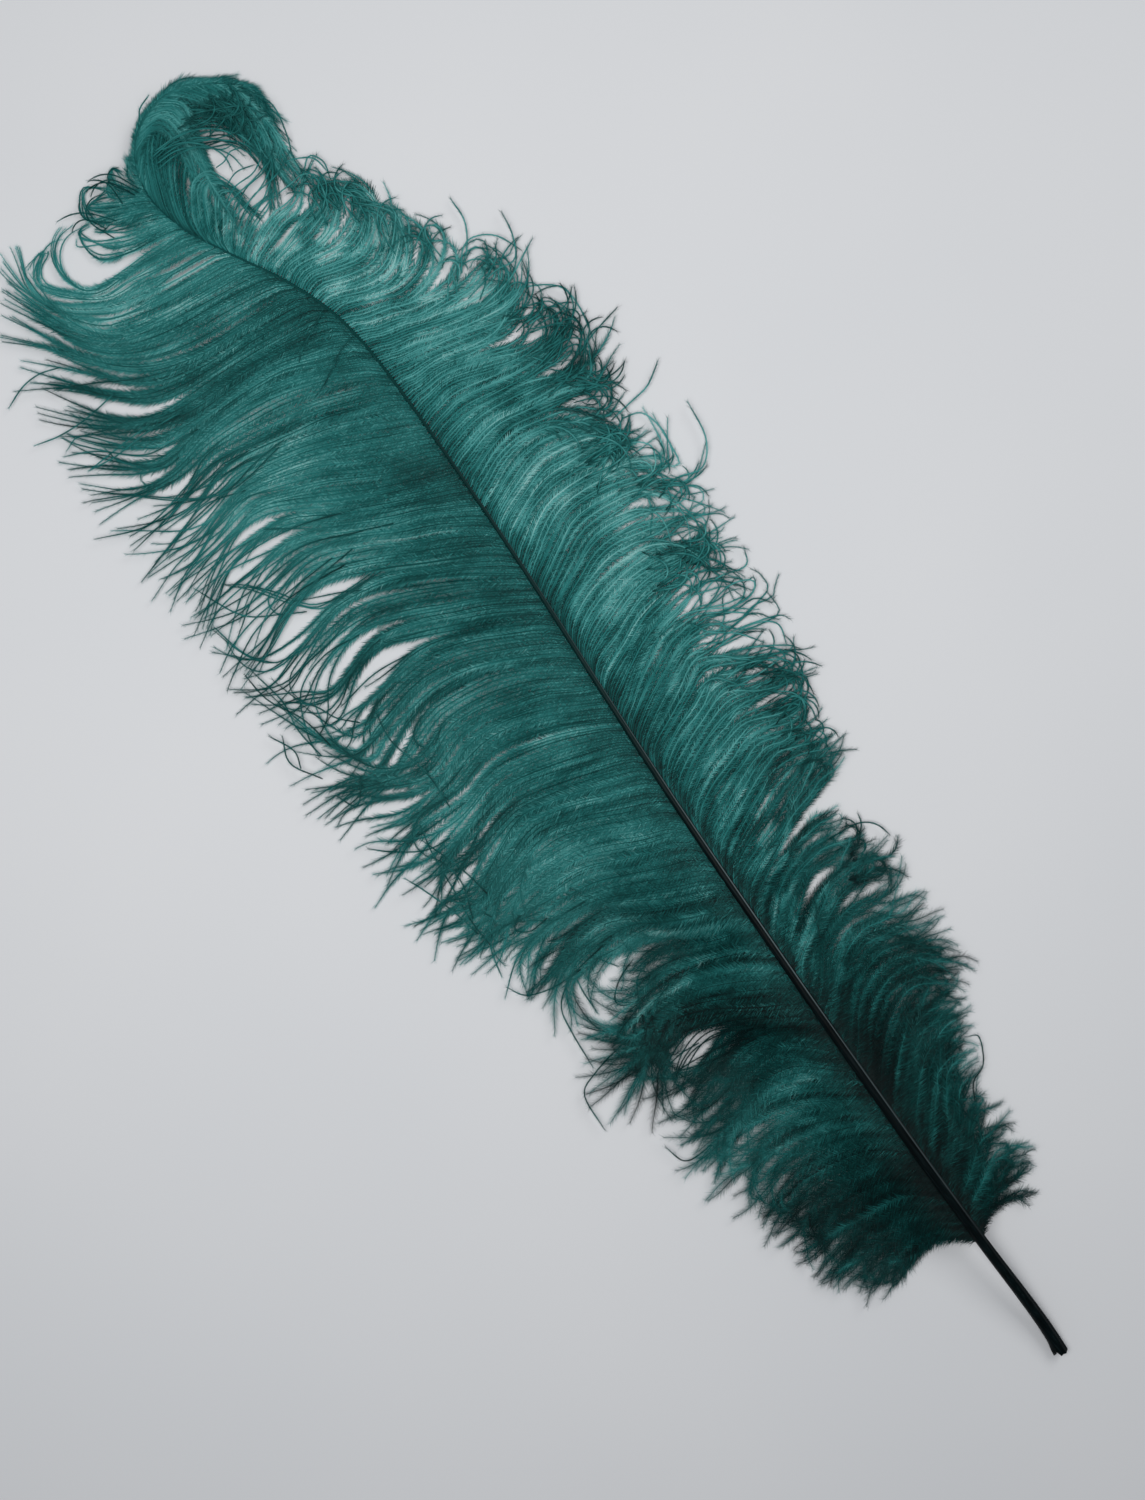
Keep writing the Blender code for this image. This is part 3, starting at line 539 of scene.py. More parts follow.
rightLocks = [
    (51, 0.2, [(8, 54), (14, 56), (22, 55)], [(30, 48.5)]),
    (53, 0.8, [(10, 58), (20, 60), (28, 60)], [(39, 60), (36, 58)]),
    (56, 0.85, [(9, 60), (19, 64), (29, 67)], [(40, 68), (41, 64), (39, 72)]),
    (59.5, 0.85, [(8, 65), (17, 70), (27, 77)], [(41, 80), (41, 74), (40, 84)]),
    (63.5, 0.85, [(8, 69), (17, 75), (27, 84)], [(40, 88), (41, 83), (42, 92)]),
    (68, 0.85, [(8, 74), (16, 81), (26, 91), (33, 97)], [(43, 101), (42, 96), (46, 98)]),
    (73, 0.85, [(8, 79), (16, 87), (25, 97), (34, 105)], [(45, 109), (43, 104), (47, 104)]),
    (79, 0.85, [(8, 85), (15, 93), (25, 104), (34, 111)], [(49, 114), (46, 118), (50, 110)]),
    (86, 0.85, [(9, 93), (17, 102), (27, 113), (36, 118)], [(52, 118), (49, 121)]),
    (93, 0.85, [(10, 101), (19, 111), (29, 120), (40, 124)], [(55, 119), (56, 123)]),
    (100, 0.85, [(11, 108), (20, 118), (31, 127), (43, 128)], [(55, 122), (56, 126)]),
    (109.5, 0.85, [(13, 117), (23, 126), (35, 133), (46, 133)], [(59, 126), (55, 128)]),
    (119, 0.85, [(13, 127), (23, 137), (35, 144), (47, 143), (58, 136)], [(64, 129), (61, 127)]),
    (129, 0.85, [(14, 135), (23, 146), (36, 151), (47, 150), (60, 142)], [(67, 134), (65, 138)]),
    (137.5, 0.85, [(14, 146), (24, 155), (36, 160), (47, 158), (60, 150)], [(66, 140), (67, 146)]),
    (145.5, 0.85, [(15, 152), (25, 161), (37, 166), (47, 164), (60, 157)], [(70, 152), (66, 154)]),
    (151.5, 0.8, [(15, 156), (25, 166), (37, 172), (46, 171), (62, 167)], [(73, 161), (68, 165)]),
    (157, 0.35, [(15, 161), (25, 173), (37, 177), (47, 177), (58, 174)], [(66, 172), (69, 178)]),
    (163, 0.8, [(16, 169), (25, 177), (37, 181), (47, 184), (60, 182)], [(69, 178), (66, 186)]),
    (169.5, 0.3, [(16, 177), (26, 181), (38, 189), (47, 191), (56, 189)], [(69, 187), (66, 184)]),
    (177.5, 0.8, [(16, 185), (26, 193), (39, 198), (58, 195)], [(67, 192), (66, 196)]),
    (186, 0.5, [(17, 193), (27, 201), (39, 205), (47, 206), (58, 202)], [(62, 204), (60, 200)]),
    (192.5, 0.2, [(17, 199), (27, 205), (46, 210)], [(61, 205), (60, 209)]),
    (200, 0.8, [(18, 207), (28, 211), (40, 215), (52, 219), (66, 222), (76, 225)], [(80, 230), (78, 226)]),
    (205.5, 0.85, [(18, 212), (28, 215), (40, 218), (53, 224), (70, 227)], [(79, 225), (80, 229)]),
    (213, 0.85, [(19, 220), (29, 225), (41, 230), (53, 234), (70, 233)], [(83, 229), (80, 233)]),
    (221, 0.85, [(19, 229), (29, 233), (41, 238), (52, 241), (72, 238)], [(80, 232), (79, 240)]),
    (227, 0.85, [(19, 235), (30, 240), (42, 244), (53, 247), (70, 241)], [(78, 246), (76, 242)]),
    (234, 0.85, [(20, 242), (30, 247), (42, 250), (52, 253), (60, 252), (74, 249)], [(80, 258), (84, 252)]),
    (243, 0.85, [(20, 250), (31, 256), (43, 260), (52, 261), (60, 260), (76, 257)], [(86, 255), (84, 258)]),
    (250.5, 0.85, [(21, 258), (32, 263), (43, 267), (53, 270), (62, 268), (76, 263)],
     [(85, 249), (86, 260)]),
    (256.5, 0.8, [(22, 263), (32, 268), (44, 271), (53, 275), (62, 272), (76, 270)], [(88, 267), (84, 270)]),
    (264.5, 0.8, [(22, 271), (32, 275), (44, 280), (53, 284), (62, 282), (76, 274)], [(86, 262), (84, 268)]),
    (271.5, 0.65, [(23, 276), (33, 281), (45, 286), (52, 289), (64, 286), (78, 285)],
     [(91, 279), (86, 282)]),
    (279.5, 0.65, [(24, 284), (34, 289), (46, 294), (53, 297), (66, 297), (80, 292), (90, 299)],
     [(77, 303), (88, 290)]),
    (287.5, 0.7, [(25, 291), (34, 297), (46, 302), (66, 306), (80, 308)], [(93, 300), (85, 300), (90, 306)]),
    (296, 0.8, [(25, 300), (35, 304), (47, 309), (66, 311), (80, 310)], [(94, 303), (90, 307)]),
    (306.5, 0.8, [(26, 311), (37, 314), (52, 319), (68, 318), (80, 314)], [(93, 303), (95, 310)]),
    (314, 0.8, [(27, 319), (37, 323), (53, 326), (70, 324), (82, 318)], [(103, 311), (97, 313)]),
    (321.5, 0.8, [(28, 327), (38, 331), (53, 333), (70, 331), (83, 325)], [(95, 318), (98, 320)]),
    (327.5, 0.75, [(28, 332), (39, 336), (53, 340), (70, 337), (83, 331), (93, 325)],
     [(100, 330), (96, 320)]),
    (334, 0.6, [(29, 338), (39, 342), (53, 347), (72, 344), (84, 337), (92, 328), (100, 325)],
     [(101, 335), (98, 322)]),
    (339.5, 0.6, [(30, 343), (40, 348), (52, 352), (74, 349), (84, 341), (90, 331)], [(92, 320), (95, 325)]),
    (346, 0.7, [(30, 349), (40, 354), (53, 359), (76, 355), (86, 347), (94, 341)], [(108, 344), (100, 336)]),
    (352.5, 0.75, [(31, 356), (41, 362), (53, 365), (76, 361), (88, 355), (96, 352)],
     [(95, 375), (99, 362), (98, 350)]),
    (360.5, 0.8, [(31, 364), (41, 369), (52, 371), (60, 370), (76, 367), (86, 362)], [(97, 365), (92, 358)]),
    (369.5, 0.85, [(32, 373), (42, 376), (53, 379), (62, 378), (78, 374), (86, 368)],
     [(90, 372), (91, 369)]),
    (380, 0.85, [(33, 382), (43, 386), (53, 388), (62, 387), (78, 380), (88, 373)], [(99, 368), (93, 372)]),
    (386, 0.8, [(33, 388), (43, 392), (53, 393), (62, 391), (78, 386), (88, 380)], [(95, 398), (94, 384)]),
    (393, 0.75, [(34, 395), (44, 398), (53, 399), (62, 397), (78, 393), (88, 390)], [(96, 405), (94, 392)]),
    (401, 0.8, [(34, 402), (44, 404), (52, 404), (60, 402), (76, 399), (90, 397)], [(95, 402), (97, 415)]),
    (409, 0.85, [(35, 410), (45, 411), (60, 409), (76, 405), (90, 403)], [(97, 407), (95, 399)]),
    (416.5, 0.8, [(35, 417), (45, 418), (60, 414), (76, 411), (90, 413), (99, 419), (96, 431)],
     [(90, 430), (99, 436)]),
    (422.5, 0.85, [(35, 423), (45, 424), (60, 419), (75, 415), (88, 414)], [(98, 425), (96, 419)]),
    (429.5, 0.85, [(36, 429), (46, 429), (60, 424), (74, 418), (84, 417)], [(90, 430), (92, 423)]),
    (436, 0.85, [(36, 434), (46, 434), (60, 430), (76, 427)], [(88, 428), (90, 434)]),
    (444.5, 0.8, [(36, 442), (46, 440), (60, 436), (76, 431), (90, 432)], [(103, 449), (99, 440)]),
    (450.5, 0.8, [(36, 447), (46, 445), (53, 442), (76, 436), (88, 437), (97, 448)], [(98, 465), (95, 450)]),
    (458, 0.75, [(36, 454), (46, 451), (60, 446), (75, 442), (86, 443), (92, 452)], [(96, 463), (90, 460)]),
    (463, 0.6, [(35, 459), (45, 456), (52, 452), (72, 450), (82, 453), (88, 459)], [(80, 462), (88, 470)]),
    (466.5, 0.35, [(35, 463), (45, 460), (53, 457), (68, 455), (76, 460), (78, 468)],
     [(72, 482), (87, 481)]),
    (470, 0.8, [(34, 466), (44, 463), (53, 459), (66, 461), (75, 468), (76, 476)], [(68, 489), (72, 484)]),
    (473.5, 0.55, [(34, 472), (44, 468), (52, 465), (65, 468), (72, 476), (70, 486)],
     [(64, 492), (70, 492)]),
    (477.5, 0.7, [(35, 474), (45, 470), (55, 470), (64, 476), (70, 484), (68, 493)], [(64, 503), (66, 498)]),
    (482, 0.7, [(32, 481), (42, 477), (52, 476), (62, 482), (67, 492), (65, 502)], [(58, 511), (62, 508)]),
    (487.5, 0.6, [(30, 488), (40, 485), (50, 483), (60, 489), (65, 500), (62, 508)], [(55, 514), (60, 514)]),
    (493, 0.45, [(28, 494), (38, 492), (48, 490), (57, 494), (63, 503), (59, 511)], [(50, 517), (56, 518)]),
    (498.5, 0.7, [(26, 499), (38, 499), (50, 503), (58, 508)], [(52, 516), (57, 517)]),
    (503.5, 0.4, [(24, 503), (36, 506), (48, 508), (54, 520)], [(47, 521), (57, 523)]),
    (509, 0.6, [(18, 509), (30, 513), (42, 514)], [(52, 518), (57, 525), (50, 521)]),
    (513.5, 0.5, [(15, 513), (25, 519), (33, 522)], [(40, 519), (36, 524), (30, 515)]),
    (517.5, 0.8, [(14, 521), (24, 530)], [(25, 520), (25, 516)]),
    (522, 0.8, [(12, 529), (19, 539), (25.5, 534)], [(25, 524), (24.5, 518)]),
    (527, 0.1, [(9, 533), (15, 543), (22, 543), (24, 536)], [(25, 526), (24, 522)], -0.02),
    (531, 0.6, [(7, 537), (14, 548), (21, 553), (28, 551), (34, 548), (37, 543), (38, 537)],
     [(34, 532), (28, 519), (37, 525)], -0.12),
    (536, 0.8, [(5, 541), (12, 554), (20, 561), (28, 561), (36, 557), (41, 551), (43, 543), (42, 536)],
     [(37, 527), (31, 513), (42, 520)], -0.1),
    (542, 0.8, [(4, 545), (10, 558), (18, 567), (28, 571), (37, 569), (45, 562), (49, 552), (48, 540)],
     [(42, 527), (35, 511), (46, 519)], -0.12),
    (547, 0.8, [(3, 550), (9, 562), (18, 570), (29, 572), (39, 569), (47, 562), (51, 553), (51, 542)],
     [(49, 530), (41, 511), (50, 520)], -0.12),
    (553, 0.8, [(3, 555), (9, 565), (19, 571), (30, 573), (41, 569), (48, 562), (52, 554), (53, 544)],
     [(53, 534), (46, 509), (54, 522)], -0.08),
    (559, 0.8, [(5, 561), (12, 568), (22, 571), (33, 571), (42, 567), (49, 560)], [(54, 552), (53, 557)]),
    (566, 0.05, [(10, 567), (18, 569), (27, 568), (35, 563), (40, 555)], [(41, 545), (39, 549)], -0.1),
    (575, 0.4, [(18, 570), (20, 564), (19, 556), (17, 546), (14.5, 536)], [(13.5, 524), (13, 517)], 0.0),
    (583, 0.7, [(24, 571), (26, 564), (25, 554), (22.5, 544), (20, 534)], [(18, 523), (19, 516)], 0.05),
    (590, 0.05, [(29, 570), (28.5, 562), (26, 553), (23.5, 545)], [(20.5, 534), (21, 528)], 0.03),
    (598, 0.4, [(36, 568), (41, 556), (41, 545)], [(36, 537), (43, 530)], -0.02),
    (606, 0.6, [(42, 565), (46, 558), (47, 548), (43, 535)], [(38, 525), (33, 512), (45, 530)], -0.02),
    (613, 0.6, [(47, 561), (49, 553), (48, 542), (44, 530)], [(37, 512), (46, 515)], 0.04),
    (621, 0.6, [(51, 557), (52, 540), (50, 528)], [(46, 508), (52, 517)], 0.06),
]

# Barbs that lie over the others, each by its course.
leftStrays = [
    [(-45, 141), (-60, 140), (-66, 142), (-68, 150)],
    [(-27, 163), (-38, 166), (-48, 170)],
    [(-34, 173), (-42, 174), (-51, 173)],
    [(-12, 160), (-26, 166), (-40, 169), (-53, 170)],
    [(-10, 163), (-24, 170), (-38, 172), (-50, 167)],
    [(-16, 161), (-30, 164), (-42, 165), (-54, 163)],
    [(-14, 165), (-28, 172), (-40, 170), (-49, 164)],
    [(-18, 170), (-30, 176), (-41, 174), (-50, 168)],
    [(-20, 173), (-33, 178), (-44, 176), (-52, 171)],
    [(-16, 168), (-29, 174), (-42, 172), (-52, 166)],
    [(-22, 176), (-34, 180), (-46, 178), (-55, 174)],
    [(-12, 163), (-27, 167), (-38, 167), (-47, 162)],
    [(-50, 190), (-60, 190), (-72, 188), (-80, 184), (-82, 169)],
    [(-58, 197), (-61, 200), (-64, 204)],
    [(-38, 199), (-47, 201), (-49, 205), (-43, 210), (-34, 213)],
    [(-40, 224), (-56, 222), (-66, 216), (-69, 206), (-71, 190)],
    [(-35, 225), (-52, 225), (-56, 217), (-57, 205)],
    [(-52, 229), (-46, 225), (-43, 219), (-40, 214)],
    [(-52, 222), (-64, 223), (-74, 227), (-78, 234)],
    [(-35, 241), (-52, 243), (-68, 240), (-81, 231)],
    [(-70, 253), (-74, 248), (-77, 238)],
    [(-50, 245), (-58, 245), (-62, 249), (-58, 252)],
    [(-73, 250), (-73, 262), (-71, 275), (-69, 290), (-66, 302)],
    [(-74, 256), (-76, 268), (-80, 282), (-83, 290)],
    [(-72, 262), (-67, 275), (-68, 285), (-70, 290)],
    [(-66, 258), (-70, 266), (-75, 274)],
    [(-62, 266), (-64, 280), (-69, 297)],
    [(-60, 291), (-70, 293), (-80, 300), (-87, 307)],
    [(-53, 300), (-52, 316), (-55, 333), (-53, 345)],
    [(-72, 330), (-80, 322), (-84, 330)],
    [(-40, 372), (-55, 374), (-70, 369), (-78, 355), (-80, 345)],
    [(-72, 384), (-76, 389), (-79, 396), (-81, 408)],
    [(-79, 345), (-80, 358), (-78, 370), (-80, 386)],
    [(-74, 346), (-76, 360), (-82, 374), (-83, 387)],
    [(-88, 346), (-86, 353), (-90, 363)],
    [(-84, 338), (-90, 350), (-86, 360)],
    [(-60, 346), (-66, 353), (-70, 362), (-79, 371)],
    [(-10, 385), (-30, 387), (-44, 388), (-52, 396), (-58, 405), (-62, 411), (-69, 419)],
    [(-14, 387), (-32, 388), (-46, 390), (-53, 399), (-60, 410), (-67, 416)],
    [(-18, 386), (-34, 387), (-47, 392), (-54, 403), (-62, 413), (-68, 418)],
    [(-4, 397), (-20, 404), (-35, 407), (-50, 407)],
    [(-30, 355), (-45, 357), (-62, 355)],
    [(-22, 399), (-40, 398), (-55, 394), (-70, 388), (-82, 386)],
    [(-28, 396), (-50, 399), (-70, 397), (-85, 390), (-92, 386)],
    [(-30, 401), (-50, 401), (-66, 401), (-80, 398), (-90, 393)],
    [(-50, 391), (-58, 396), (-70, 405), (-78, 424)],
    [(-15, 402), (-35, 411), (-55, 413), (-75, 412), (-90, 405)],
    [(-12, 410), (-35, 419), (-58, 422), (-75, 417), (-89, 410)],
    [(-15, 447), (-30, 447), (-45, 445), (-55, 449), (-65, 457), (-75, 466), (-85, 472), (-91, 475)],
    [(-20, 446), (-40, 444), (-52, 447), (-64, 455), (-76, 467), (-83, 473)],
    [(-15, 450), (-25, 452), (-40, 456), (-55, 456), (-70, 453.5), (-80, 454), (-96, 461.5)],
    [(-30, 452), (-50, 453), (-68, 451), (-87, 449)],
    [(-40, 441), (-55, 446), (-68, 444), (-84, 440), (-92, 438)],
    [(-40, 470), (-50, 472), (-62, 475), (-75, 487), (-86, 493)],
    [(-42, 470), (-55, 473), (-66, 483), (-76, 495), (-84, 494)],
    [(-40, 479), (-57, 481), (-70, 481), (-82, 483)],
    [(-56, 500), (-70, 499), (-82, 500), (-92, 503)],
    [(-66, 520), (-74, 523), (-82, 523), (-91, 520)],
    [(-45, 482), (-60, 483), (-72, 483), (-82, 483)],
    [(-56, 470), (-66, 478), (-78, 492), (-82, 499)],
    [(-52, 466), (-60, 467), (-70, 478), (-72, 487)],
    [(24, 476), (15, 472), (10, 470), (5, 466)],
    [(27, 461.5), (20, 460), (10, 455), (5, 453)],
    [(14, 574), (17, 578), (23, 580)],
]
rightStrays = [
    [(34, 92), (38, 98), (45, 101), (50, 110), (46, 113)],
    [(26, 176), (30, 183), (36, 192)],
    [(48, 302), (60, 303), (72, 297), (84, 287)],
    [(56, 303), (66, 299), (76, 292), (82, 286)],
    [(62, 302), (78, 306), (90, 303), (94, 309)],
    [(64, 298), (80, 301), (89, 297), (84, 293), (70, 295)],
    [(60, 289), (74, 286), (88, 281), (91, 277)],
    [(58, 285), (76, 285), (86, 279), (84, 270)],
    [(64, 282), (74, 277), (84, 270), (87, 266)],
    [(62, 276), (72, 272), (80, 266), (82, 259)],
    [(60, 300), (64, 292), (72, 285), (78, 276)],
    [(56, 270), (70, 268), (84, 268), (88, 271)],
    [(84, 377), (95, 378), (103, 379), (112, 384)],
    [(80, 343), (90, 345), (100, 342), (108, 350), (111, 365)],
    [(82, 403), (92, 405), (100, 407), (112, 409)],
    [(76, 457), (82, 462), (87, 470), (88, 480)],
    [(47, 529), (52, 527), (57, 523), (58, 516)],
    [(38, 521), (44, 521), (50, 521), (54, 517), (53, 512)],
    [(44, 519), (50, 521), (56, 525), (59, 520), (57, 513)],
    [(18, 528), (24, 530), (35, 531), (45, 533)],
    [(19, 524), (25, 525), (35, 527), (45, 532)],
    [(26, 543), (30, 543), (34, 544.5), (38, 543)],
    [(20, 530), (27, 533), (36, 533), (44, 537)],
    [(22, 526), (30, 530), (40, 531), (48, 536)],
    [(24, 535), (31, 537), (38, 535)],
    [(21, 522), (30, 526), (42, 527), (52, 531)],
    [(23, 519), (33, 523), (42, 529), (46, 538)],
    [(50, 561), (56, 553), (57, 546), (54, 535), (51, 528), (50, 515)],
    [(10, 560), (20, 560), (29, 555), (35, 548), (37, 540)],
    [(9, 558), (19, 557), (28, 551), (33, 544), (34, 536)],
    [(12, 562), (24, 561), (33, 556), (40, 548), (42, 540)],
    [(8, 556), (17, 556), (26, 553), (32, 547), (38, 546)],
    [(14, 561), (22, 558), (28, 552), (31, 545), (30, 538)],
    [(11, 559), (21, 558), (30, 553), (37, 550), (42, 551)],
    [(16, 560), (26, 556), (34, 550), (40, 543), (41, 536)],
    [(9, 561), (22, 561), (32, 557), (38, 550), (38, 543)],
    [(70, 356), (84, 352), (90, 360), (84, 366), (78, 362)],
    [(88, 375), (95, 372), (97, 362), (94, 352), (88, 350)],
    [(80, 437), (88, 437), (99.5, 429), (101, 418), (96.6, 402)],
    [(76, 410), (90, 413), (99, 419), (101, 427), (96, 431), (90, 432)],
    [(70, 446), (84, 448), (93, 447), (98, 455), (100, 464)],
    [(74, 455), (80, 462), (86, 463), (93, 458), (97, 448)],
    [(70, 440), (86, 442), (96, 446), (103, 449)],
]

# Places where curled tips have knotted: x, y, size, number of barbs, the way they come in degrees.
leftTangles = [
    (-50, 183, 3.5, 7, 215), (-55, 188, 3, 4, 190), (-26, 558, 4, 4, 130), (-8, 563, 3, 5, 110),
]
rightTangles = [
    (80, 371, 4, 18, -25), (75, 366, 4, 10, -20), (89, 391, 3.5, 16, -40), (83, 397, 5, 10, -20),
    (90, 411, 4, 8, -10), (82, 318, 5, 14, -15), (70, 313, 6, 10, -10), (91, 342, 5, 8, -35),
    (86, 352, 5, 8, -25), (75, 252, 4, 16, -10), (79, 262, 4, 12, -20), (78, 272, 5, 6, -20),
    (70, 237, 4, 8, -5), (60, 197, 4, 5, -10), (62, 186, 4, 4, -20),
    (88, 427, 5, 12, -5), (92, 418, 4, 10, 20),
    (97, 409, 3, 6, 30), (84, 446, 6, 6, 30), (75, 459, 4, 6, 40), (72, 474, 3, 5, 60),
    (62, 491, 3.5, 6, 70), (57, 506, 3.5, 8, 80), (51, 513, 4, 8, 70), (46, 554, 3.5, 12, -70),
    (41, 559, 4, 12, -40), (34, 561, 3, 8, -20),
]

vaneLook = {
    "first": 50.5,  # mm along the shaft, of the first barb and the last
    "last": 622.5,
    "leave": 12,  # degrees that barbs turn back to the quill as they leave the shaft
    "rootBlend": 0.2,  # share of a barb in which it swings from its root to its lock
    "rootOut": [(200, 0.75), (430, 0.55)],  # mm along the shaft, shaft radii out from its middle
    "rootUp": [(200, 0.0), (430, 0.2)],  # and shaft radii up
    "bunch": (1, 3),  # barbs that cling to each other inside a lock
    "bigBunch": (2, 5),
    "bunchGrip": 0.7,
    "bunchFrom": (120, 220),  # mm along the shaft in which they begin to cling
    "lensAt": (0.12, 0.62),  # openings between bunches: where along the barb, and half their length
    "lensHalf": (0.07, 0.22),
    "lensGrip": 0.9,
    "veilAndPaintedGlow": (0.42, 0.32),  # how much shorter the barbules are in an opening, and how much paler, that paleness being painted light shining through them
    "reach": (0.90, 1.02),  # share of a lock's course
    "broken": (0.12, 0.70, 0.95),  # share of barbs that lost their tips, and how much they keep
    "wander": (0.6, 1.1),  # mm at the tip, of a barb and of its bunch
    "rebels": (0.05, 3, 6),  # share of barbs that wander off alone, and how many times as far
    "loopTurn": (1.5, 4.2),  # radians in a looped tip
    "loopFrom": (0.72, 0.86),  # where along a barb a loop starts, and a plain curl
    "curlFrom": (0.45, 0.75),
    "touchdown": 0.6,  # where along a barb it reaches the table
    "lie": 0.35,  # mm that every barb lies over the table, and the least that any point does
    "lowest": 0.12,
    "lockLift": (0.4, 2.4),  # mm that locks lie over the table
    "barbLift": (0.6, 2.0),  # mm that barbs lie over their lock, and downy ones on top of that
    "downUntil": (150, 230),  # mm along the shaft in which that ends
    "tipRise": (0.8, 5),  # mm that tips stand up, usual and most
    "headCrown": 1.2,  # mm that the barbs of the head arch
    "headFrom": (516, 540),
    "uneven": (0.07, 0.04, 0.02),  # tone of a barb, its bunch and its lock
    "thinSpread": (0.3, 1.3),
    "strayLift": (2.4, 4.2),  # mm that stray barbs lie over the vane
    "strayTone": (-0.06, 0.05),
    "knotLength": (14, 26),
    "knotCurl": (0.8, 3.4),
    "knotSpread": 20,  # degrees
    "knotTone": -0.13,
}
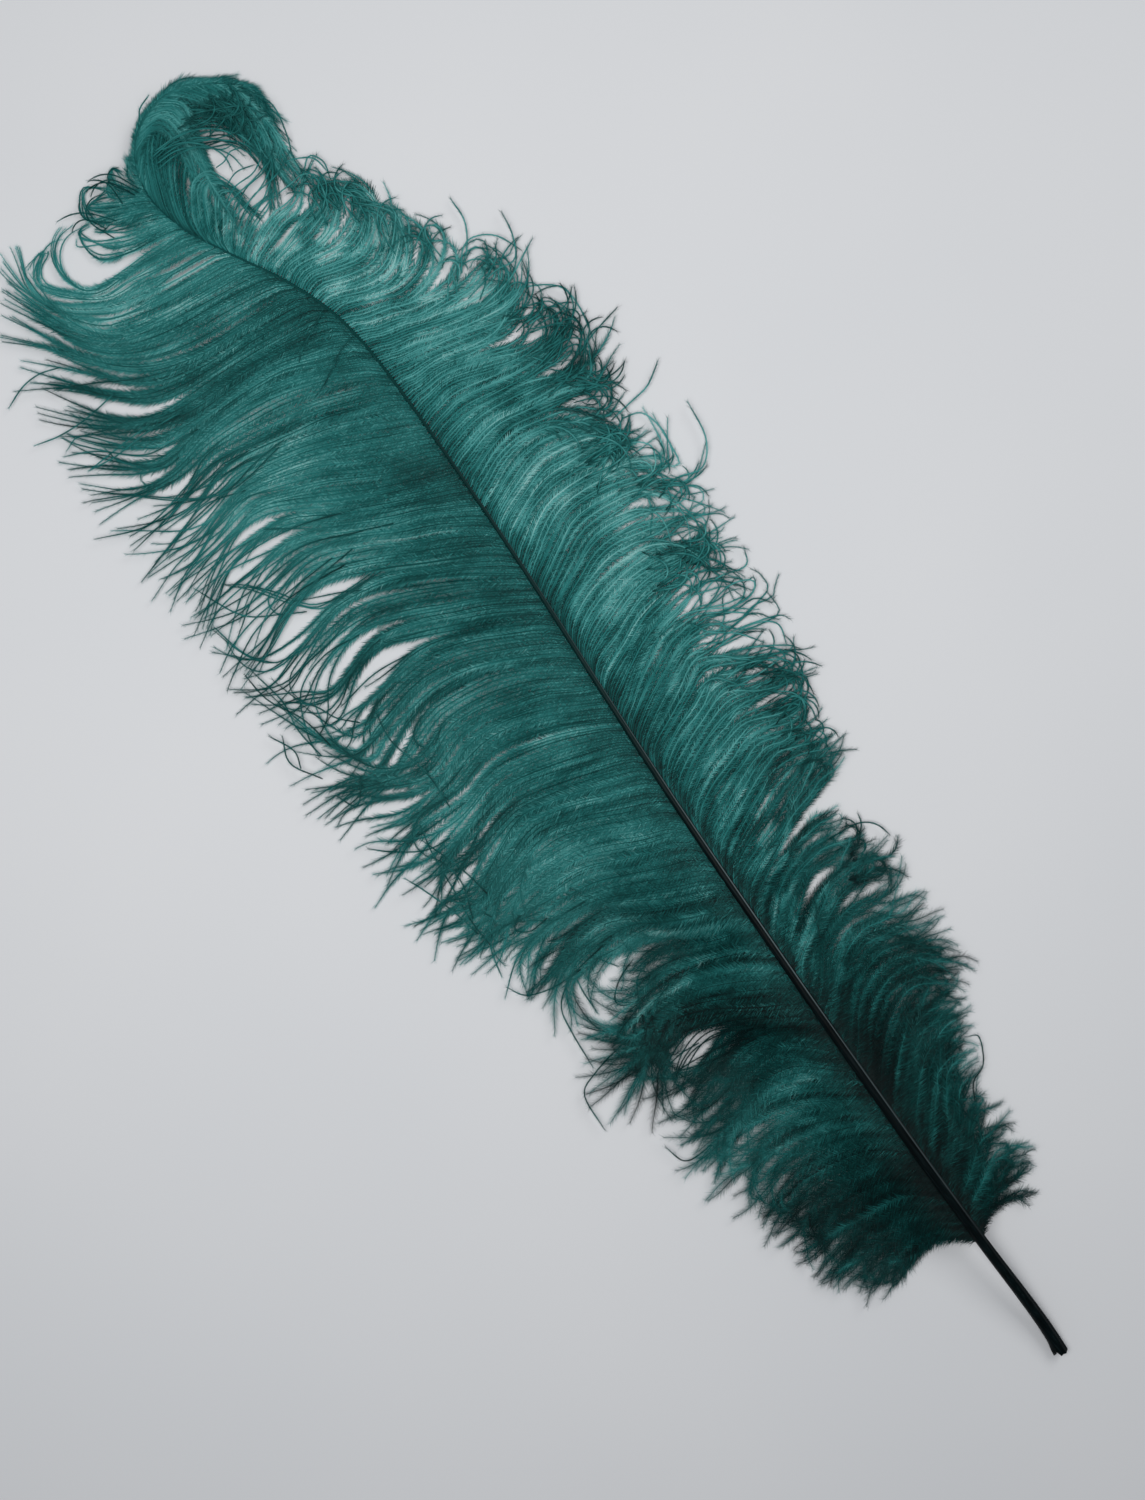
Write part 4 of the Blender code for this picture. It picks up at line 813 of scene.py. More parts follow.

# The looks that change along the plume are rows of (mm along the shaft, value). What they set:
# calm, how far barbs sway; spacing, mm between roots; grip, how closely barbs keep to their lock;
# uneven, how much their tones differ; webbed, where along a barb its long barbules end;
# curl and curlSpread, radians at the tips; looped and astray, shares of barbs that do so;
# frizz, the crimp near the tips; fluff, the length of barbules; clumped, how wide openings part;
# thin, how much shorter and paler barbules are in an opening, the paleness being painted light shining
# through; downy, down in place of combed barbules; dye, the tone of it all, set lighter on the right vane as
# painted light for the side that faces the lamps.
# The other tones are added to dye: painted shade at the first mm of a barb and at its root, where shade
# falls beside the shaft, a tone at its tip, and tones on its stem and on its barbules, which on the right
# vane paint a highlight on the stems and shade between them.
sideLook = {
    "left": {
        "side": -1,
        "locks": leftLocks,
        "strays": leftStrays,
        "tangles": leftTangles,
        "calm": [(50, 1.0), (440, 1.0), (475, 0.4), (530, 0.35), (623, 0.45)],
        "spacing": [(50, 0.45), (70, 0.6), (95, 0.9), (148, 0.9), (153, 0.42), (164, 0.5), (185, 0.9),
                    (195, 0.6), (206, 0.6), (214, 1.05), (240, 1.1), (490, 1.1), (503, 1.2), (530, 1.2),
                    (545, 0.8), (570, 0.8), (623, 0.9)],
        "grip": [(50, 0.75), (200, 0.75), (230, 0.68), (305, 0.68), (325, 0.74), (345, 0.82),
                 (368, 0.86), (378, 0.72), (425, 0.72), (440, 0.88), (623, 0.93)],
        "uneven": [(50, 1.6), (190, 1.6), (230, 0.8), (380, 0.7), (400, 0.4), (450, 0.5), (500, 1.0),
                   (540, 1.0), (565, 0.6), (623, 0.6)],
        "webbed": [(50, 1.2), (200, 1.0), (240, 0.97), (300, 0.97), (325, 0.82), (350, 0.70),
                   (425, 0.70), (445, 0.85), (475, 0.9), (504, 0.9), (512, 0.8), (530, 0.75),
                   (545, 0.6), (556, 0.6), (565, 1.0), (623, 1.0)],
        "curl": [(50, 0.2), (200, 0.0), (623, 0.0)],
        "curlSpread": [(50, 0.3), (62, 0.45), (100, 0.7), (200, 0.45), (420, 0.3), (440, 0.2),
                       (520, 0.2), (623, 0.1)],
        "looped": [(50, 0.0), (100, 0.04), (200, 0.02), (623, 0.0)],
        "astray": [(50, 0.05), (215, 0.10), (240, 0.16), (345, 0.12), (420, 0.05), (440, 0.0)],
        "frizz": [(50, 0.3), (200, 0.2), (260, 0.06), (623, 0.04)],
        "fluff": [(50, 1.05), (120, 1.05), (200, 1.0), (340, 0.95), (500, 0.92), (507, 0.8),
                  (532, 0.8), (548, 0.7), (565, 1.0), (623, 1.0)],
        "clumped": [(50, 0.0), (230, 0.0), (290, 0.15), (360, 0.3), (430, 0.3), (455, 0.2),
                    (495, 0.2), (504, 0.85), (532, 0.85), (545, 0.4), (560, 0.0), (623, 0.0)],
        "thin": [(50, 0.2), (90, 0.3), (120, 0.8), (200, 0.8), (230, 0.5), (290, 0.45), (360, 0.6),
                 (430, 0.6), (455, 0.4), (498, 0.4), (506, 2.0), (532, 2.0), (548, 0.8), (562, 0.0),
                 (623, 0.0)],
        "downy": [(50, 1.0), (190, 1.0), (265, 0.0)],
        "dye": [(50, 0.32), (75, 0.18), (105, 0.50), (140, 0.40), (170, 0.42), (200, 0.54), (240, 0.75),
                (280, 0.69), (330, 0.65), (375, 0.80), (420, 0.85), (450, 0.73), (475, 0.61),
                (500, 0.74), (512, 0.88), (535, 0.85), (560, 0.74), (623, 0.73)],
        # painted shade beside the shaft, at the first mm of each barb and at its root
        "collarPaintedShade": [(50, -0.11), (100, -0.11), (130, -0.15), (150, -0.02), (190, -0.05), (215, -0.08),
                       (250, -0.10), (270, -0.12), (300, 0.0), (330, -0.02), (370, 0.04), (400, 0.0),
                       (430, 0.02), (455, 0.04), (480, 0.0), (623, 0.0)],
        "rootPaintedShade": [(50, -0.08), (95, -0.08), (122, -0.14), (150, -0.20), (170, -0.02), (195, -0.06),
                     (210, -0.12), (240, -0.12), (268, -0.04), (300, -0.04), (330, -0.12), (360, -0.12),
                     (380, -0.15), (395, -0.30), (408, -0.24), (425, -0.08), (450, -0.06), (480, -0.04),
                     (623, -0.02)],
        "tipTone": [(50, 0.22), (62, 0.10), (190, 0.05), (250, -0.10), (330, -0.12), (400, -0.18),
                    (440, -0.20), (480, -0.03), (505, 0.0), (540, 0.0), (560, -0.10), (623, -0.10)],
        "stemToneAndPaintedHighlight": [(50, -0.06), (200, -0.09), (623, -0.10)],
        "webToneAndPaintedShade": [(50, 0.0), (200, 0.02), (623, 0.03)],
    },
    "right": {
        "side": 1,
        "locks": rightLocks,
        "strays": rightStrays,
        "tangles": rightTangles,
        "calm": [(50, 1.0), (500, 1.0), (530, 0.45), (623, 0.45)],
        "spacing": [(50, 0.4), (85, 0.5), (105, 0.8), (190, 0.95), (240, 1.15), (460, 1.15), (500, 0.9),
                    (520, 0.65), (531, 1.0), (556, 1.0), (566, 0.75), (592, 0.8), (598, 1.3), (623, 1.6)],
        "grip": [(50, 0.75), (520, 0.75), (540, 0.9), (623, 0.95)],
        "uneven": [(50, 1.7), (200, 1.7), (240, 1.1), (480, 0.9), (510, 1.1), (530, 0.9), (623, 0.9)],
        "webbed": [(50, 1.2), (200, 1.0), (235, 0.95), (262, 0.88), (272, 0.62), (300, 0.62),
                   (312, 0.85), (322, 0.85), (330, 0.7), (352, 0.75), (362, 0.95), (405, 0.95),
                   (415, 0.8), (445, 0.75), (470, 0.85), (500, 0.9), (515, 0.5), (530, 0.6),
                   (552, 0.6), (562, 1.0), (623, 1.0)],
        "curl": [(50, 0.1), (200, 0.1), (300, -0.3), (400, -0.4), (425, 0.4), (450, 0.5), (520, 0.3),
                 (540, 0), (623, 0)],
        "curlSpread": [(50, 0.5), (180, 0.5), (195, 0.15), (215, 0.2), (300, 0.7), (430, 0.6),
                       (505, 0.4), (520, 0.1), (623, 0.1)],
        "looped": [(50, 0.05), (260, 0.15), (300, 0.22), (410, 0.16), (450, 0.08), (500, 0.04),
                   (623, 0.0)],
        "astray": [(50, 0.08), (180, 0.08), (190, 0.0), (215, 0.0), (260, 0.12), (345, 0.08),
                   (490, 0.05), (520, 0.0)],
        "frizz": [(50, 0.35), (200, 0.35), (300, 0.3), (345, 0.10), (623, 0.06)],
        "fluff": [(50, 1.0), (120, 0.9), (190, 0.85), (215, 1.0), (495, 1.0), (510, 0.8), (528, 0.8),
                  (534, 0.6), (556, 0.6), (566, 0.9), (623, 0.85)],
        "clumped": [(50, 0.0), (150, 0.2), (230, 0.2), (300, 0.3), (318, 0.45), (335, 0.45),
                    (350, 0.3), (440, 0.25), (455, 0.45), (470, 0.65), (512, 0.75), (520, 0.3),
                    (530, 0.0), (623, 0.0)],
        "thin": [(50, 0.2), (100, 0.4), (150, 0.7), (165, 1.2), (200, 1.2), (230, 0.7), (300, 0.65),
                 (318, 0.6), (355, 0.6), (440, 0.7), (455, 1.2), (470, 1.9), (512, 2.0), (524, 0.3),
                 (530, 0.0), (623, 0.0)],
        "downy": [(50, 1.0), (186, 1.0), (206, 0.3), (245, 0.0)],
        # the dye's tone, set lighter than on the left vane as painted light, this vane facing the lamps
        "dye": [(50, 0.28), (100, 0.36), (130, 0.46), (160, 0.46), (200, 0.52), (240, 0.75), (280, 0.75),
                (320, 0.90), (345, 0.90), (390, 0.77), (415, 0.61), (440, 0.82), (480, 0.86),
                (515, 0.79), (530, 0.72), (623, 0.70)],
        # painted shade beside the shaft, at the first mm of each barb and at its root
        "collarPaintedShade": [(50, -0.12), (100, -0.10), (130, -0.02), (160, -0.10), (180, -0.16), (200, -0.18),
                       (215, -0.22), (240, -0.20), (290, -0.22), (320, -0.28), (345, -0.26),
                       (375, -0.22), (390, -0.18), (420, -0.10), (500, -0.10), (525, -0.04), (623, 0.0)],
        "rootPaintedShade": [(50, -0.10), (95, -0.14), (115, -0.40), (130, -0.34), (150, -0.26), (170, -0.08),
                     (200, -0.06), (212, 0.0), (225, -0.10), (240, -0.20), (258, -0.22), (275, -0.14),
                     (300, -0.07), (335, -0.26), (360, -0.04), (410, 0.05), (440, -0.04), (623, 0.0)],
        "tipTone": [(50, 0.10), (60, 0.15), (100, 0.16), (125, 0.02), (215, 0.0), (240, -0.24),
                    (500, -0.22), (540, -0.08), (623, -0.05)],
        # on this vane the lighter stems are a painted highlight, and the darker barbules between them
        # painted shade
        "stemToneAndPaintedHighlight": [(50, 0.06), (190, 0.08), (240, 0.15), (490, 0.14), (520, 0.06), (623, 0.06)],
        "webToneAndPaintedShade": [(50, 0.0), (190, -0.02), (240, -0.06), (490, -0.06), (520, -0.03), (623, -0.03)],
    },
}


def alongPlume(look, name, stations):
    return np.interp(stations, *zip(*look[name]))


def readRows(rows, at):
    # rows is (count, points, dims) and at is (count, any) in points
    low = np.clip(at.astype(int), 0, rows.shape[1] - 2)
    part = (at - low)[..., None]
    owner = np.arange(len(rows))[:, None]
    return rows[owner, low] * (1 - part) + rows[owner, low + 1] * part


def turned(vectors, angle):
    x, y = vectors[..., 0], vectors[..., 1]
    cos, sin = np.cos(angle), np.sin(angle)
    return np.stack([x * cos - y * sin, x * sin + y * cos], -1)


def lockCourses(look):
    # the courses of each lock's own tips, and their mean
    side, courses = look["side"], []
    for root, parting, points, tips, *_ in look["locks"]:
        place, ahead = shaftAt(root)
        start = place[:2] + side * 0.5 * place[3] * np.array([ahead[1], -ahead[0]])
        chord = np.array(points[0]) - start
        leaving = start + turned(chord, math.radians(side * vaneLook["leave"])) * 0.3
        courses.append(np.array([evenly(smoothLine([start, leaving, *points, tip]), fine) for tip in tips]))
    return courses, np.array([course.mean(0) for course in courses])


def placeStations(look, rng):
    at, stations = vaneLook["first"], []
    while at < vaneLook["last"]:
        spacing = alongPlume(look, "spacing", at)
        stations.append(at + rng.uniform(-0.3, 0.3) * spacing)
        at += spacing
    return np.array(stations)


def bunchNumbers(near, clumped, rng):
    # neighbouring barbs of one lock, a few at a time
    numbers, left = [0], rng.integers(*vaneLook["bunch"])
    for before, lock, big in zip(near, near[1:], clumped[1:]):
        left -= 1
        fresh = lock != before or left <= 0
        if fresh:
            left = rng.integers(*vaneLook["bunch"])
            if rng.random() < big:
                left = rng.integers(*vaneLook["bigBunch"])
        numbers.append(numbers[-1] + int(fresh))
    return np.array(numbers)


def pickCourses(courses, near, bunch, rng):
    # a lock's bunches take its tips in turn, and half of them end between two tips
    turns, plans = {}, []
    for lock in near[np.unique(bunch, return_index=True)[1]]:
        tips = courses[lock]
        at = turns.setdefault(lock, rng.integers(len(tips)))
        after = turns[lock] = (at + 1) % len(tips)
        part = rng.random() * (rng.random() < 0.5)
        plans.append(tips[at] * (1 - part) + tips[after] * part)
    return np.array(plans)[bunch]


def lensShare(lens, at):
    # how far a place along a barb is inside its bunch's opening
    return smoothstep(0, 0.6, 1 - np.abs(at - lens[:, :1]) / lens[:, 1:])


def gatherBarbs(look, stations, rng):
    # each barb keeps to its lock, leans to the next lock where they haven't parted, and clings to its bunch
    courses, means = lockCourses(look)
    roots = np.array([lock[0] for lock in look["locks"]])
    partings = np.array([lock[1] for lock in look["locks"]])
    count = len(stations)
    near = np.abs(stations[:, None] - roots).argmin(1)
    beside = np.clip(near + np.where(stations > roots[near], 1, -1), 0, len(roots) - 1)
    gap = np.maximum(np.abs(roots[beside] - roots[near]), 0.01)
    away = np.clip(np.abs(stations - roots[near]) / gap, 0, 0.5)
    clumped = alongPlume(look, "clumped", stations)
    bunch = bunchNumbers(near, clumped, rng)
    parting = partings[np.minimum(near, beside)][:, None]
    hold = alongPlume(look, "grip", stations)[:, None] * smoothstep(parting, parting + 0.35, even[None, :])
    towards = (means[beside] - means[near]) * away[:, None, None]
    plan = pickCourses(courses, near, bunch, rng) + towards * (1 - hold)[..., None]
    # some leave for another lock
    astray = rng.random(count) < alongPlume(look, "astray", stations)
    other = np.clip(near + rng.choice([-2, -1, 1, 2], count), 0, len(roots) - 1)
    move = rng.uniform(0.4, 1.0, count) * astray
    plan += (means[other] - means[near]) * (move[:, None] * smoothstep(0.55, 1.0, even)[None, :])[..., None]
    # bunches cling past the parting, and beside an opening
    gathered = np.array([plan[bunch == k].mean(0) for k in range(bunch[-1] + 1)])[bunch]
    cling = vaneLook["bunchGrip"] * rng.uniform(0.4, 1.0, count)[bunch]
    cling = cling * smoothstep(*vaneLook["bunchFrom"], stations)
    cling = cling[:, None] * smoothstep(parting - 0.15, parting + 0.25, even[None, :])
    lens = [rng.uniform(*vaneLook[name], count) for name in ("lensAt", "lensHalf")]
    lens = np.stack(lens, 1)[bunch]
    cling = np.maximum(cling, vaneLook["lensGrip"] * clumped[:, None] * lensShare(lens, even[None, :]))
    plan += (gathered - plan) * cling[..., None]
    return plan, near, bunch, lens


def rootPlaces(look, stations, at):
    # where barbs leave the shaft, a little inside its edge
    place, ahead = shaftAt(at)
    outward = look["side"] * np.stack([ahead[:, 1], -ahead[:, 0]], 1)
    return place[:, :2] + outward * (alongPlume(vaneLook, "rootOut", stations) * place[:, 3])[:, None]


def rooted(plan, starts, along):
    # plan with its barbs' first points moved to their starts
    blend = 1 - smoothstep(0, vaneLook["rootBlend"], along)
    return plan + (starts - plan[:, 0])[:, None, :] * blend[None, :, None]


def endBarbs(plan, bunch, rng):
    shortest, longest = vaneLook["reach"]
    broken, least, most = vaneLook["broken"]
    count = len(plan)
    reach = longest - (longest - shortest) * rng.random(count)[bunch] ** 1.5
    reach *= rng.uniform(0.96, 1.0, count)
    reach = np.where(rng.random(count) < broken, reach * rng.uniform(least, most, count), reach)
    return readRows(plan, share[None, :] * reach[:, None] * fine)


def waves(count, rng):
    return sum(
        rng.normal(0, 1, (count, 1)) / wave
        * np.sin(2 * np.pi * (wave * 0.6 * share[None, :] + rng.random((count, 1))))
        for wave in (1, 2, 3)
    )


def frizz(count, rng):
    return sum(
        rng.normal(0, 0.7, (count, 1)) * np.sin(2 * np.pi * (wave * share[None, :] + rng.random((count, 1))))
        for wave in (3.1, 4.3, 5.7)
    )


def swayBarbs(look, plan, stations, bunch, rng):
    # each barb wanders a little to both sides, and a few leave their lock
    along = np.gradient(plan, axis=1)
    along /= np.linalg.norm(along, axis=2, keepdims=True)
    across = np.stack([along[..., 1], -along[..., 0]], -1)
    count = len(plan)
    rebels, least, most = vaneLook["rebels"]
    freedom = np.where(rng.random(count) < rebels, rng.uniform(least, most, count), 1)
    own, shared = vaneLook["wander"]
    calm = alongPlume(look, "calm", stations)[:, None]
    sway = waves(count, rng) * (0.12 + own * freedom[:, None] * share ** 2.2) * calm
    sway += waves(count, rng)[bunch] * shared * share ** 2 * calm
    sway += frizz(count, rng) * alongPlume(look, "frizz", stations)[:, None] * smoothstep(0.25, 0.8, share)
    return plan + across * sway[..., None]


def curlTips(look, plan, stations, rng):
    count = len(plan)
    curl = alongPlume(look, "curl", stations)
    curl = curl + alongPlume(look, "curlSpread", stations) * rng.normal(0, 1, count)
    looped = rng.random(count) < alongPlume(look, "looped", stations)
    loop = rng.uniform(*vaneLook["loopTurn"], count) * rng.choice([-1, -1, 1], count)
    curl = look["side"] * np.where(looped, loop, curl)
    loopFrom, curlFrom = (rng.uniform(*vaneLook[name], count) for name in ("loopFrom", "curlFrom"))
    begin = np.where(looped, loopFrom, curlFrom)[:, None]
    bend = smoothstep(begin, 1.0, share[None, 1:])
    steps = turned(np.diff(plan, axis=1), curl[:, None] * bend)
    return np.concatenate([plan[:, :1], plan[:, :1] + np.cumsum(steps, axis=1)], 1)


def layBarbs(look, stations, near, rng):
    # heights, from the shaft down to the table, lock over lock
    count = len(stations)
    place = shaftAt(seenAt(stations))[0]
    start = place[:, 2] + alongPlume(vaneLook, "rootUp", stations) * place[:, 3]
    head = smoothstep(*vaneLook["headFrom"], stations)
    lockLift = rng.uniform(*vaneLook["lockLift"], len(look["locks"]))[near] * (1 - 0.5 * head)
    always, downy = vaneLook["barbLift"]
    barbLift = rng.uniform(0.0, always, count)
    combed = smoothstep(*vaneLook["downUntil"], stations)
    barbLift = barbLift + rng.uniform(0.0, downy, count) * (1 - combed)
    usual, most = vaneLook["tipRise"]
    rise = rng.exponential(usual, count).clip(0, most)
    height = (
        start[:, None] * (1 - smoothstep(0, vaneLook["touchdown"], share))
        + lockLift[:, None] * smoothstep(0.3, 0.8, share)
        + barbLift[:, None] * smoothstep(0.0, 0.4, share)
        + rise[:, None] * share ** 5
        + vaneLook["lie"]
    )
    crown = np.sin(np.pi * np.clip(share * 1.2, 0, 1))
    return height + (head * vaneLook["headCrown"])[:, None] * crown


def lowered(plan, height):
    # from where places seem to lie to where they really are
    return plan - (plan - middle) * (height / seenFrom)[..., None]


def growBarbs(name, rng):
    look = sideLook[name]
    stations = placeStations(look, rng)
    plan, near, bunch, lens = gatherBarbs(look, stations, rng)
    plan = rooted(plan, rootPlaces(look, stations, stations), even)
    plan = endBarbs(plan, bunch, rng)
    plan = swayBarbs(look, plan, stations, bunch, rng)
    plan = curlTips(look, plan, stations, rng)
    height = layBarbs(look, stations, near, rng)
    plan = rooted(lowered(plan, height), rootPlaces(look, stations, seenAt(stations)), share)

    locks, count = look["locks"], len(stations)
    single, together, whole = vaneLook["uneven"]
    uneven = rng.normal(0, single, count) + rng.normal(0, together, count)[bunch]
    uneven = uneven + rng.normal(0, whole, len(locks))[near]
    tone = alongPlume(look, "dye", stations) + uneven * alongPlume(look, "uneven", stations)
    tone += np.array([lock[4] if len(lock) > 4 else 0 for lock in locks])[near]
    barbs = withLooks(look, plan, height, stations, tone)
    barbs["thin"] = alongPlume(look, "thin", stations) * rng.uniform(*vaneLook["thinSpread"], count)[bunch]
    barbs["lens"] = lens
    return barbs


def withLooks(look, plan, height, stations, tone):
    names = ("webbed", "fluff", "downy", "rootPaintedShade", "collarPaintedShade", "tipTone", "stemToneAndPaintedHighlight", "webToneAndPaintedShade")
    barbs = {name: alongPlume(look, name, stations) for name in names}
    barbs["course"] = np.concatenate([plan, height[..., None]], 2)
    barbs["station"] = stations
    barbs["tone"] = tone
    return barbs


def knottedCourses(tangles, rng):
    courses = []
    for x, y, size, count, way in tangles:
        heading = np.radians(way + rng.normal(0, vaneLook["knotSpread"], count))
        length = rng.uniform(*vaneLook["knotLength"], count)
        curl = rng.uniform(*vaneLook["knotCurl"], count) * rng.choice([-1, 1], count)
        turn = heading[:, None] + curl[:, None] * smoothstep(0.25, 1.1, np.linspace(0, 1, fine)[None, :])
        steps = np.stack([np.cos(turn), np.sin(turn)], 2) * (length / fine)[:, None, None]
        course = np.concatenate([np.zeros((count, 1, 2)), np.cumsum(steps, axis=1)], 1)
        courses.append(course - course[:, fine // 2, None] + (x, y) + rng.normal(0, size / 2, (count, 1, 2)))
    return np.concatenate(courses)


def strayBarbs(name, rng):
    # single barbs that cross over the vane, and the knots
    look = sideLook[name]
    single = np.array([evenly(smoothLine(points), fine) for points in look["strays"]])
    plan = np.concatenate([single, knottedCourses(look["tangles"], rng)])
    knotted = np.arange(len(plan)) >= len(single)
    plan = readRows(plan, np.repeat(share[None, :] * fine, len(plan), 0))
    away = np.linalg.norm(plan[:, :, None] - shaftLine[None, None, :, :2], axis=3)
    nearest = away.argmin(2)
    height = shaftLine[nearest, 2] * (1 - smoothstep(0, 48, away.min(2)))
    height = height + rng.uniform(*vaneLook["strayLift"], (len(plan), 1))
    stations = shaftReached[nearest[:, 0]]
    tone = alongPlume(look, "dye", stations) + rng.normal(*vaneLook["strayTone"], len(plan))
    tone = tone + vaneLook["knotTone"] * knotted
    barbs = withLooks(look, lowered(plan, height), height, stations, tone)
    downy = knotted & (stations < 200)
    barbs["webbed"] = np.where(downy, 1.2, -0.2)
    barbs["downy"] *= np.where(downy, 1.0, 0.3)
    barbs["thin"] = np.zeros(len(plan))
    barbs["lens"] = np.full((len(plan), 2), 0.5)
    return barbs


# Each row runs along a barb, at the shares of its length in "stops".
combedLook = {
    "stops": (0.0, 0.5, 0.85, 1.0),
    "width": (0.45, 0.50, 0.50, 0.15),  # mm, of the barb's own stem
    "reach": (2.8, 3.7, 3.5, 2.4),  # mm, of a barbule
    "base": (0.45, 0.50, 0.45, 0.20),
    "angle": (38, 34, 28, 16),  # degrees from the barb
    "pitch": 0.28,  # mm between barbules on one side
}
downLook = {
    "stops": (0.0, 0.4, 0.85, 1.0),
    "width": (0.32, 0.30, 0.26, 0.12),
    "reach": (3.2, 4.6, 3.9, 2.3),
    "base": (0.32, 0.28, 0.20, 0.12),
    "angle": (48, 42, 38, 28),
    "pitch": 0.25,
}
bareLook = {"reach": 2.0, "base": 0.19, "angle": 20}  # past the web
barbuleLook = {
    "reachSpread": (0.6, 1.25),
    "angleSpread": 8,
    "lean": -0.10,  # down from the barb, for each mm
    "leanSpread": (0.1, 0.16),  # of any barbule, and what down adds
    "clump": 1.15,  # mm between the clumps that barbules cling in, which show as fine ticks
    "clumpTone": 0.09,
    "uneven": 0.08,
    "seatPaintedShade": -0.1,  # painted shade where a barb leaves the shaft
    "ripples": (2.7, 4.6),  # of tone along a barb
    "rippleTone": 0.045,
}


def lookAt(name, at, downy):
    # a value along a barb, between the two looks
    return (
        np.interp(at, downLook["stops"], downLook[name]) * downy
        + np.interp(at, combedLook["stops"], combedLook[name]) * (1 - downy)
    )


def endTone(barbs, owner, at):
    phase = barbs["phase"][owner]
    ripple = sum(np.sin(2 * np.pi * (wave * at + phase * wave)) for wave in barbuleLook["ripples"])
    return (
        barbs["tipTone"][owner] * smoothstep(0.55, 1.0, at)
        # painted shade beside the shaft: at the root, the first mm and where the barb leaves the shaft
        + barbs["rootPaintedShade"][owner] * (1 - smoothstep(0.1, 0.6, at))
        + barbs["collarPaintedShade"][owner] * (1 - smoothstep(0.03, 0.14, at))
        + barbuleLook["seatPaintedShade"] * (1 - smoothstep(0.0, 0.03, at))
        + barbuleLook["rippleTone"] * ripple
    )


def stemMesh(barbs):
    # a roof of two strips along each barb
    course = barbs["course"]
    at = np.repeat(share[None, :], len(course), 0)
    along = np.gradient(course, axis=1)
    across = np.cross(along, up)
    across /= np.linalg.norm(across, axis=2, keepdims=True)
    width = lookAt("width", at, barbs["downy"][:, None])[..., None]
    ridge = course + up * width * 0.5
    vertices = np.stack([course - across * width / 2, ridge, course + across * width / 2], 2)
    count, points = course.shape[:2]
    first = (np.arange(count)[:, None] * points + np.arange(points - 1)[None, :]) * 3
    faces = []
    for column in (0, 1):
        a, b = first + column, first + column + 1
        faces += [np.stack([a, b, b + 3], -1), np.stack([a, b + 3, a + 3], -1)]
    # the stem's tone, with a painted highlight on the right vane's stems
    tone = (barbs["tone"] + barbs["stemToneAndPaintedHighlight"])[:, None] + endTone(barbs, np.arange(count)[:, None], at)
    tone = np.repeat(tone[..., None], 3, 2)
    return vertices.reshape(-1, 3), np.concatenate([face.reshape(-1, 3) for face in faces]), tone.reshape(-1)


def placeBarbules(barbs, rng):
    # each barbule's barb, share of the barb's length, mm from its root, side, base and direction of the barb
    course = barbs["course"]
    steps = np.linalg.norm(np.diff(course, axis=1), axis=2)
    reached = np.concatenate([np.zeros((len(course), 1)), np.cumsum(steps, axis=1)], 1)
    length = reached[:, -1]
    pitch = downLook["pitch"] * barbs["downy"] + combedLook["pitch"] * (1 - barbs["downy"])
    amount = np.maximum((2 * length / pitch).astype(int), 1)
    owner = np.repeat(np.arange(len(course)), amount)
    first = np.concatenate([[0], np.cumsum(amount)[:-1]])
    number = np.arange(len(owner)) - first[owner]
    at = (number + rng.random(len(owner))) / amount[owner]
    side = np.where(number % 2 == 0, 1.0, -1.0)
    # the segment that holds each barbule, found along all barbs in one go
    scaled = reached / length[:, None] + 2 * np.arange(len(course))[:, None]
    low = np.searchsorted(scaled.ravel(), at + 2 * owner, side="right") - 1 - owner * (segments + 1)
    low = np.clip(low, 0, segments - 1)
    span = scaled[owner, low + 1] - scaled[owner, low]
    part = ((at + 2 * owner - scaled[owner, low]) / span)[:, None]
    base = course[owner, low] * (1 - part) + course[owner, low + 1] * part
    along = course[owner, low + 1] - course[owner, low]
    along /= np.linalg.norm(along, axis=1, keepdims=True)
    return owner, at, at * length[owner], side, base, along


def barbuleMesh(barbs, rng):
    # a pointed blade for each barbule
    owner, at, reached, side, base, along = placeBarbules(barbs, rng)
    count = len(owner)
    across = np.cross(along, up)
    across /= np.linalg.norm(across, axis=1, keepdims=True)
    downy = barbs["downy"][owner]
    bare = smoothstep(-0.12, 0.12, at - barbs["webbed"][owner])
    reach, thick, angle = (
        lookAt(name, at, downy) * (1 - bare) + bareLook[name] * bare for name in ("reach", "base", "angle")
    )
    reach *= rng.uniform(*barbuleLook["reachSpread"], count) * barbs["fluff"][owner]
    shorter, paintedGlow = vaneLook["veilAndPaintedGlow"]
    thin = barbs["thin"][owner] * lensShare(barbs["lens"][owner], at[:, None])[:, 0]
    reach *= 1 - shorter * np.minimum(thin, 1.0)
    angle = np.radians(angle + rng.normal(0, barbuleLook["angleSpread"], count))
    usual, fluffy = barbuleLook["leanSpread"]
    lean = rng.normal(0, usual, count) + barbuleLook["lean"] + rng.normal(0, fluffy, count) * downy
    way = along * np.cos(angle)[:, None] + across * (np.sin(angle) * side)[:, None] + up * lean[:, None]
    way /= np.linalg.norm(way, axis=1, keepdims=True)
    edge = along * (thick / 2)[:, None]
    vertices = np.stack([base - edge, base + edge, base + way * reach[:, None]], 1)
    faces = np.arange(3 * count).reshape(-1, 3)
    faces[side > 0] = faces[side > 0][:, ::-1]
    start = rng.random(len(barbs["course"]))[owner]
    clump = np.sin(2 * np.pi * (reached / barbuleLook["clump"] + start))
    # the barbules' tone, with painted shade between the stems on the right vane
    tone = (barbs["tone"] + barbs["webToneAndPaintedShade"])[owner] + endTone(barbs, owner, at)
    tone += barbuleLook["clumpTone"] * clump + rng.normal(0, barbuleLook["uneven"], count)
    # paler barbules in an opening: painted light shining through them
    tone += paintedGlow * thin
    return vertices.reshape(-1, 3), faces, np.repeat(tone, 3)


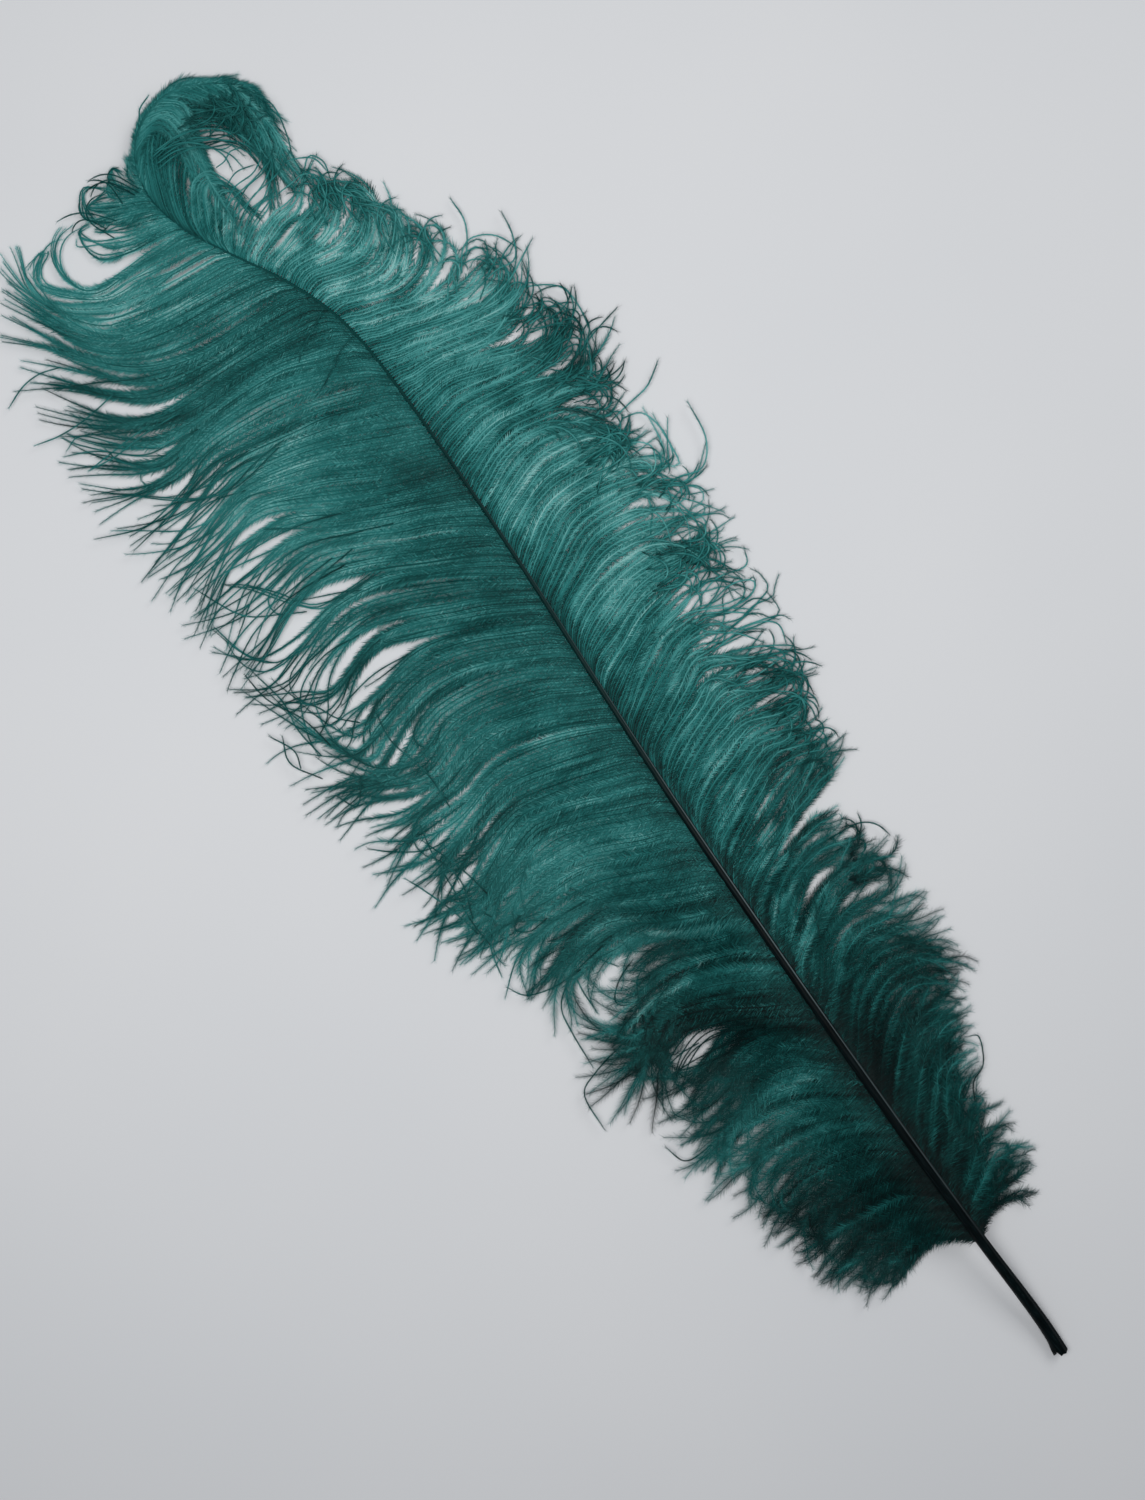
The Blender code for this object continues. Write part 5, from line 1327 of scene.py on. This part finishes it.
def joined(parts):
    start, vertices, faces, tones = 0, [], [], []
    for points, triangles, tone in parts:
        vertices.append(points)
        faces.append(triangles + start)
        tones.append(tone)
        start += len(points)
    return np.concatenate(vertices), np.concatenate(faces), np.concatenate(tones)


def pieceFrom(name, vertices, faces, tone, material):
    vertices = vertices.copy()
    vertices[:, 2] = np.maximum(vertices[:, 2], vaneLook["lowest"])
    mesh = bpy.data.meshes.new(name)
    mesh.vertices.add(len(vertices))
    mesh.vertices.foreach_set("co", toFrame(vertices).astype(np.float32).ravel())
    mesh.loops.add(faces.size)
    mesh.loops.foreach_set("vertex_index", faces.astype(np.int32).ravel())
    mesh.polygons.add(len(faces))
    mesh.polygons.foreach_set("loop_start", np.arange(0, faces.size, 3, dtype=np.int32))
    tone = np.clip(tone / barbDye["palest"], 0, 1).astype(np.float32)
    mesh.attributes.new("tone", "FLOAT", "POINT").data.foreach_set("value", tone)
    mesh.update(calc_edges=True)
    mesh.materials.append(material)
    piece = bpy.data.objects.new(name, mesh)
    bpy.context.scene.collection.objects.link(piece)
    print(name, len(faces), "triangles")
    return piece


# Each vane is cut into pieces by where its barbs are rooted, in mm along the shaft.
stretches = {"down": (0, 205), "middle": (205, 345), "high": (345, 470), "head": (470, 700)}


def makeVane(name, node, material, seed):
    rng = np.random.default_rng(seed)
    sets = growBarbs(name, rng), strayBarbs(name, rng)
    barbs = {key: np.concatenate([some[key] for some in sets]) for key in sets[0]}
    barbs["phase"] = rng.random(len(barbs["tone"]))
    for stretch, (low, high) in stretches.items():
        keep = (barbs["station"] >= low) & (barbs["station"] < high)
        some = {key: value[keep] for key, value in barbs.items()}
        mesh = joined([stemMesh(some), barbuleMesh(some, rng)])
        piece = pieceFrom(f"barbs_{name}_{stretch}", *mesh, material)
        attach(piece, "root")
        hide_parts(node)


# Table, light and camera

stageLook = {
    "lamps": [  # place, what it points at, side, watts
        ((1.12, 0.16, 1.15), (0, 0, 0), 0.8, 6.6),
        ((-0.11, 0.05, 0.82), (0.25, 0.4, 0), 0.5, 4.4),
    ],
    "lampColour": (1.0, 0.99, 0.975),
    "skyColour": (0.86, 0.92, 1.0),
    "skyStrength": 0.18,
    "sensor": 36,  # mm
    "cameraHeight": 0.75,
    "viewHeight": 0.5625,  # of the table, at its surface
    "viewCentre": (-0.0036, -0.0003),
    "viewUp": (0.617, 0.787),
}


def makeStage():
    bpy.ops.object.select_all(action="DESELECT")
    bpy.ops.mesh.primitive_plane_add(size=tableLook["side"], location=(0, 0, 0))
    table = bpy.context.object
    table.name = "table_top"
    table.data.materials.append(makeTableMaterial("pale_table"))

    for place, target, side, power in stageLook["lamps"]:
        bpy.ops.object.light_add(type="AREA", location=place)
        lamp = bpy.context.object
        lamp.data.shape = "SQUARE"
        lamp.data.size = side
        lamp.data.energy = power
        lamp.data.color = stageLook["lampColour"]
        aim = np.array(target) - place
        tilt = math.acos(-aim[2] / np.linalg.norm(aim))
        lamp.rotation_euler = (tilt, 0, math.atan2(-aim[0], aim[1]))

    bpy.context.scene.view_settings.view_transform = "Standard"
    world = bpy.data.worlds.new("soft_room")
    bpy.context.scene.world = world
    world.use_nodes = True
    sky = world.node_tree.nodes["Background"]
    sky.inputs["Color"].default_value = (*stageLook["skyColour"], 1)
    sky.inputs["Strength"].default_value = stageLook["skyStrength"]

    camera = bpy.data.cameras.new("camera")
    camera.sensor_width = stageLook["sensor"]
    camera.lens = stageLook["sensor"] * stageLook["cameraHeight"] / stageLook["viewHeight"]
    camera.clip_start = 0.01
    holder = bpy.data.objects.new("camera", camera)
    holder.location = (*stageLook["viewCentre"], stageLook["cameraHeight"])
    upX, upY = stageLook["viewUp"]
    holder.rotation_euler = (0, 0, math.atan2(-upX, upY))
    bpy.context.scene.collection.objects.link(holder)
    bpy.context.scene.camera = holder


print("shaft")
shaftPiece = makeShaft(makeHornMaterial("dyed_horn"))
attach(shaftPiece, "root")
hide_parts("shaft")

print("barbs")
makeVane("left", "vane_left", makeBarbMaterial("left_barb_dye"), 11)
makeVane("right", "vane_right", makeBarbMaterial("right_barb_dye"), 23)

print("stage")
makeStage()
